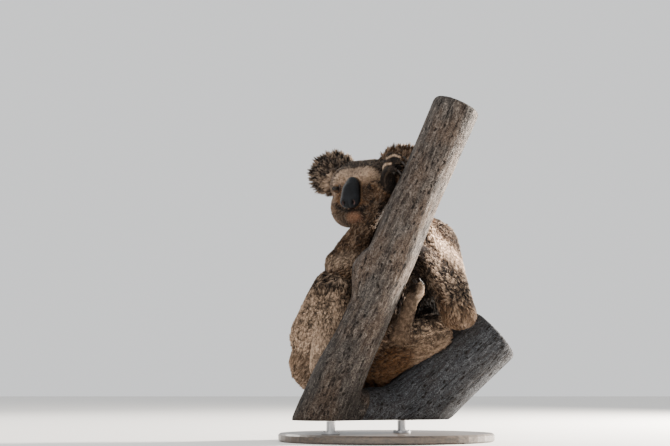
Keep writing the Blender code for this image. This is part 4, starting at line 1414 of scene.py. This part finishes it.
def noseMaterial():
    material, tree, shader = newMaterial("noseLeather")
    place = placeOf(tree)
    cell = addNode(tree, "ShaderNodeTexVoronoi", {"Vector": place, "Scale": 900.0}, feature="DISTANCE_TO_EDGE")
    cloud = noiseOf(tree, place, 110.0, 3.0)
    colour = blended(tree, remap(tree, cloud, 0.35, 0.65), (0.004, 0.0043, 0.005), (0.010, 0.011, 0.013))
    # painted shade darkens the nostril openings
    colour = blended(tree, remap(tree, attribute(tree, "nostril"), 0.3, 0.9), colour, (0.002, 0.0015, 0.0015))
    # the gleam: a painted highlight in a reddish tint on the nostril rims
    colour = blended(tree, times(tree, attribute(tree, "gleam"), 0.5), colour, (0.20, 0.105, 0.088))
    wire(tree, shader, {
        "Base Color": colour, "Normal": bumpOf(tree, remap(tree, cell.outputs["Distance"], 0.0, 0.25), 0.0004, 0.7),
        "Roughness": remap(tree, cloud, 0.3, 0.7, 0.42, 0.56), "Specular IOR Level": 0.09,
    })
    return material


def eyeMaterial():
    material, tree, shader = newMaterial("eyeWet")
    across = addNode(tree, "ShaderNodeSeparateXYZ", {0: attribute(tree, "eyePlace", "Vector")}).outputs
    disc = addNode(tree, "ShaderNodeCombineXYZ", {0: across[0], 1: across[1]}).outputs[0]
    slit = addNode(tree, "ShaderNodeCombineXYZ", {0: times(tree, across[0], 2.6), 1: across[1]}).outputs[0]
    irisFar, pupilFar = (vectors(tree, "LENGTH", {0: v}, "Value") for v in (disc, slit))
    fibres = noiseOf(tree, vectors(tree, "NORMALIZE", {0: disc}), 9.0, 3.0)
    iris = blended(tree, remap(tree, fibres, 0.35, 0.65), (0.028, 0.012, 0.005), (0.070, 0.032, 0.012))
    colour = blended(tree, remap(tree, irisFar, 0.66, 0.72), iris, (0.050, 0.034, 0.028))
    colour = blended(tree, remap(tree, pupilFar, 0.40, 0.34), colour, (0.003, 0.003, 0.003))
    wire(tree, shader, {"Base Color": colour, "Roughness": 0.12, "Coat Weight": 1.0, "Coat Roughness": 0.03})
    return material


def clawMaterial():
    material, tree, shader = newMaterial("clawHorn")
    streaks = noiseOf(tree, stretched(tree, placeOf(tree), (1, 1, 0.3)), 700.0, 4.0)
    wire(tree, shader, {
        "Base Color": blended(tree, remap(tree, streaks, 0.35, 0.65), (0.008, 0.006, 0.005), (0.030, 0.023, 0.019)),
        "Normal": bumpOf(tree, streaks, 0.0002, 0.6),
        "Roughness": remap(tree, streaks, 0.3, 0.7, 0.42, 0.58), "Specular IOR Level": 0.3,
    })
    return material


def boardMaterial(grain):
    material, tree, shader = newMaterial("standBoard")
    turned = {"Vector": placeOf(tree), "Rotation": (0, math.radians(90), 0)}
    turned = addNode(tree, "ShaderNodeMapping", turned).outputs[0]
    streaks = grainIn(tree, grain, turned, 240.0, 700.0)["Streaks"]
    wire(tree, shader, {
        "Base Color": blended(tree, remap(tree, streaks, 0.35, 0.65), (0.030, 0.022, 0.017), (0.085, 0.058, 0.040)),
        "Normal": bumpOf(tree, streaks, 0.0003, 0.5),
        "Roughness": remap(tree, streaks, 0.3, 0.7, 0.34, 0.46), "Coat Weight": 0.25,
    })
    return material


def bristleMaterial():
    material, tree, shader = newMaterial("bristleHorn")
    colour = blended(tree, noiseOf(tree, placeOf(tree), 300.0), (0.010, 0.008, 0.007), (0.060, 0.045, 0.034))
    wire(tree, shader, {"Base Color": colour, "Roughness": 0.45})
    return material


def steelMaterial():
    material, tree, shader = newMaterial("standSteel")
    brushed = noiseOf(tree, stretched(tree, placeOf(tree), (1, 1, 14)), 180.0, 4.0)
    wire(tree, shader, {
        "Base Color": blended(tree, remap(tree, brushed, 0.3, 0.7), (0.40, 0.40, 0.41), (0.56, 0.56, 0.57)),
        "Normal": bumpOf(tree, brushed, 0.0001, 0.4),
        "Roughness": remap(tree, brushed, 0.3, 0.7, 0.26, 0.40), "Metallic": 1.0,
    })
    return material


def give(obj, *materials):
    if obj.data.materials:
        obj.data.materials.clear()
    for material in materials:
        obj.data.materials.append(material)


# floor, light and camera

studio = {
    "eye": (-0.0925, -2.20, 0.100),
    "target": (-0.0925, 0.0, 0.39775),
    "lens": 64.48,
    "sky": ((0.92, 0.93, 0.94), 1.08),
    "floor": ((0.74, 0.73, 0.71), 9),  # its colour, and half its side
}
lamps = {  # place, aim, size, power, tint, and a spot's cone in degrees
    "key": ((2.20, 1.00, 0.74), (-0.02, 0, 0.32), 0.36, 700.0, (1.0, 0.925, 0.83)),
    "fill": ((-0.9, -2.5, 1.5), (-0.02, 0, 0.32), 1.6, 47.0, (1.0, 0.98, 0.95)),
    "rim": ((-1.4, 1.5, 1.5), (-0.02, 0, 0.32), 0.8, 28.0, (1.0, 0.96, 0.90)),
    # a narrow beam on the left shoulder, where the sun falls
    "accent": ((1.30, -1.00, 1.70), (0.098, -0.010, 0.366), 0.06, 5200.0, (1.0, 0.95, 0.90), 4.2),
}


def aimed(obj, place, target):
    obj.location = place
    obj.rotation_euler = (Vector(target) - Vector(place)).to_track_quat("-Z", "Y").to_euler()


def setStudio():
    camera = newObject("camera", bpy.data.cameras.new("camera"))
    camera.data.sensor_width = 36
    camera.data.lens = studio["lens"]
    aimed(camera, studio["eye"], studio["target"])
    bpy.context.scene.camera = camera
    for name, (place, target, size, power, tint, *cone) in lamps.items():
        lamp = bpy.data.lights.new(name, "SPOT" if cone else "AREA")
        lamp.energy, lamp.color = power, tint
        if cone:
            lamp.spot_size, lamp.spot_blend, lamp.shadow_soft_size = math.radians(cone[0]), 1.0, size
        else:
            lamp.size = size
        aimed(newObject(name, lamp), place, target)
    world = bpy.data.worlds.new("studio")
    bpy.context.scene.world = world
    world.use_nodes = True
    colour, strength = studio["sky"]
    wire(world.node_tree, world.node_tree.nodes["Background"], {"Color": colour, "Strength": strength})
    colour, half = studio["floor"]
    mesh = bpy.data.meshes.new("floor")
    mesh.from_pydata([(-half, -half, 0), (half, -half, 0), (half, half, 0), (-half, half, 0)], [], [(0, 1, 2, 3)])
    floor = newObject("floor", mesh)
    material, tree, shader = newMaterial("paleFloor")
    wire(tree, shader, {"Base Color": colour, "Roughness": 0.8})
    give(floor, material)


# put it together

def settle(piece, materials=(), nodes=()):
    # a piece's materials, the nodes it stands for and the body it rides on
    if materials:
        give(piece, *materials)
    if nodes:
        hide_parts(*nodes)
    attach(piece, "root")


setStudio()
perch = looseCopy("perch_fork")
perchTree = BVHTree.FromPolygons(pointsOf(perch).tolist(), trianglesOf(perch).tolist())
skinMesh, finder = buildSkin()
print("skin:", len(trianglesOf(skinMesh)), "triangles")
facts = skinFacts(skinMesh, finder, perchTree)
for key in (*maskNames, "streak"):
    storeValues(skinMesh, key, facts[key])
markingsAndShadeGroup, woodGroup = furGroup(), grainGroup()
settle(newObject("koalaSkin", skinMesh), [skinMaterial(markingsAndShadeGroup)], fleshParts)

coat = coatMaterial(markingsAndShadeGroup)
for seed, name in enumerate(coatPieces, tuftPlan["seed"]):
    settle(growTufts(name, facts, seed), [coat])
print("coat:", sum(n for _, _, layers in coatPieces.values() for n, _ in layers.values()), "tufts")

fork = newObject("barkFork", buildBark())
settle(fork, [barkMaterial(woodGroup), sawnMaterial()], ["perch_fork"])
print("bark:", len(trianglesOf(fork.data)), "triangles")

settle(buildNose(), [noseMaterial()], ["nose"])
eyeWet, horn, steel = eyeMaterial(), clawMaterial(), steelMaterial()
for side in ("left", "right"):
    settle(buildEye(side), [eyeWet], ["eye_" + side])
for name, nodes in clawSets.items():
    settle(buildClaws(name), [horn], nodes)
give(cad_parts["stand_base"], boardMaterial(woodGroup))
for node in ("stand_rod_1", "stand_rod_2"):
    give(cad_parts[node], steel)
collarValues = {**collarPlan["values"], "Material": steel}
settle(scattered("standCollars", collarGroup(), collarPlan["feet"], collarValues))
settle(buildBristles(facts, bristleMaterial()))
print("nose, eyes, claws, bristles and stand: done")
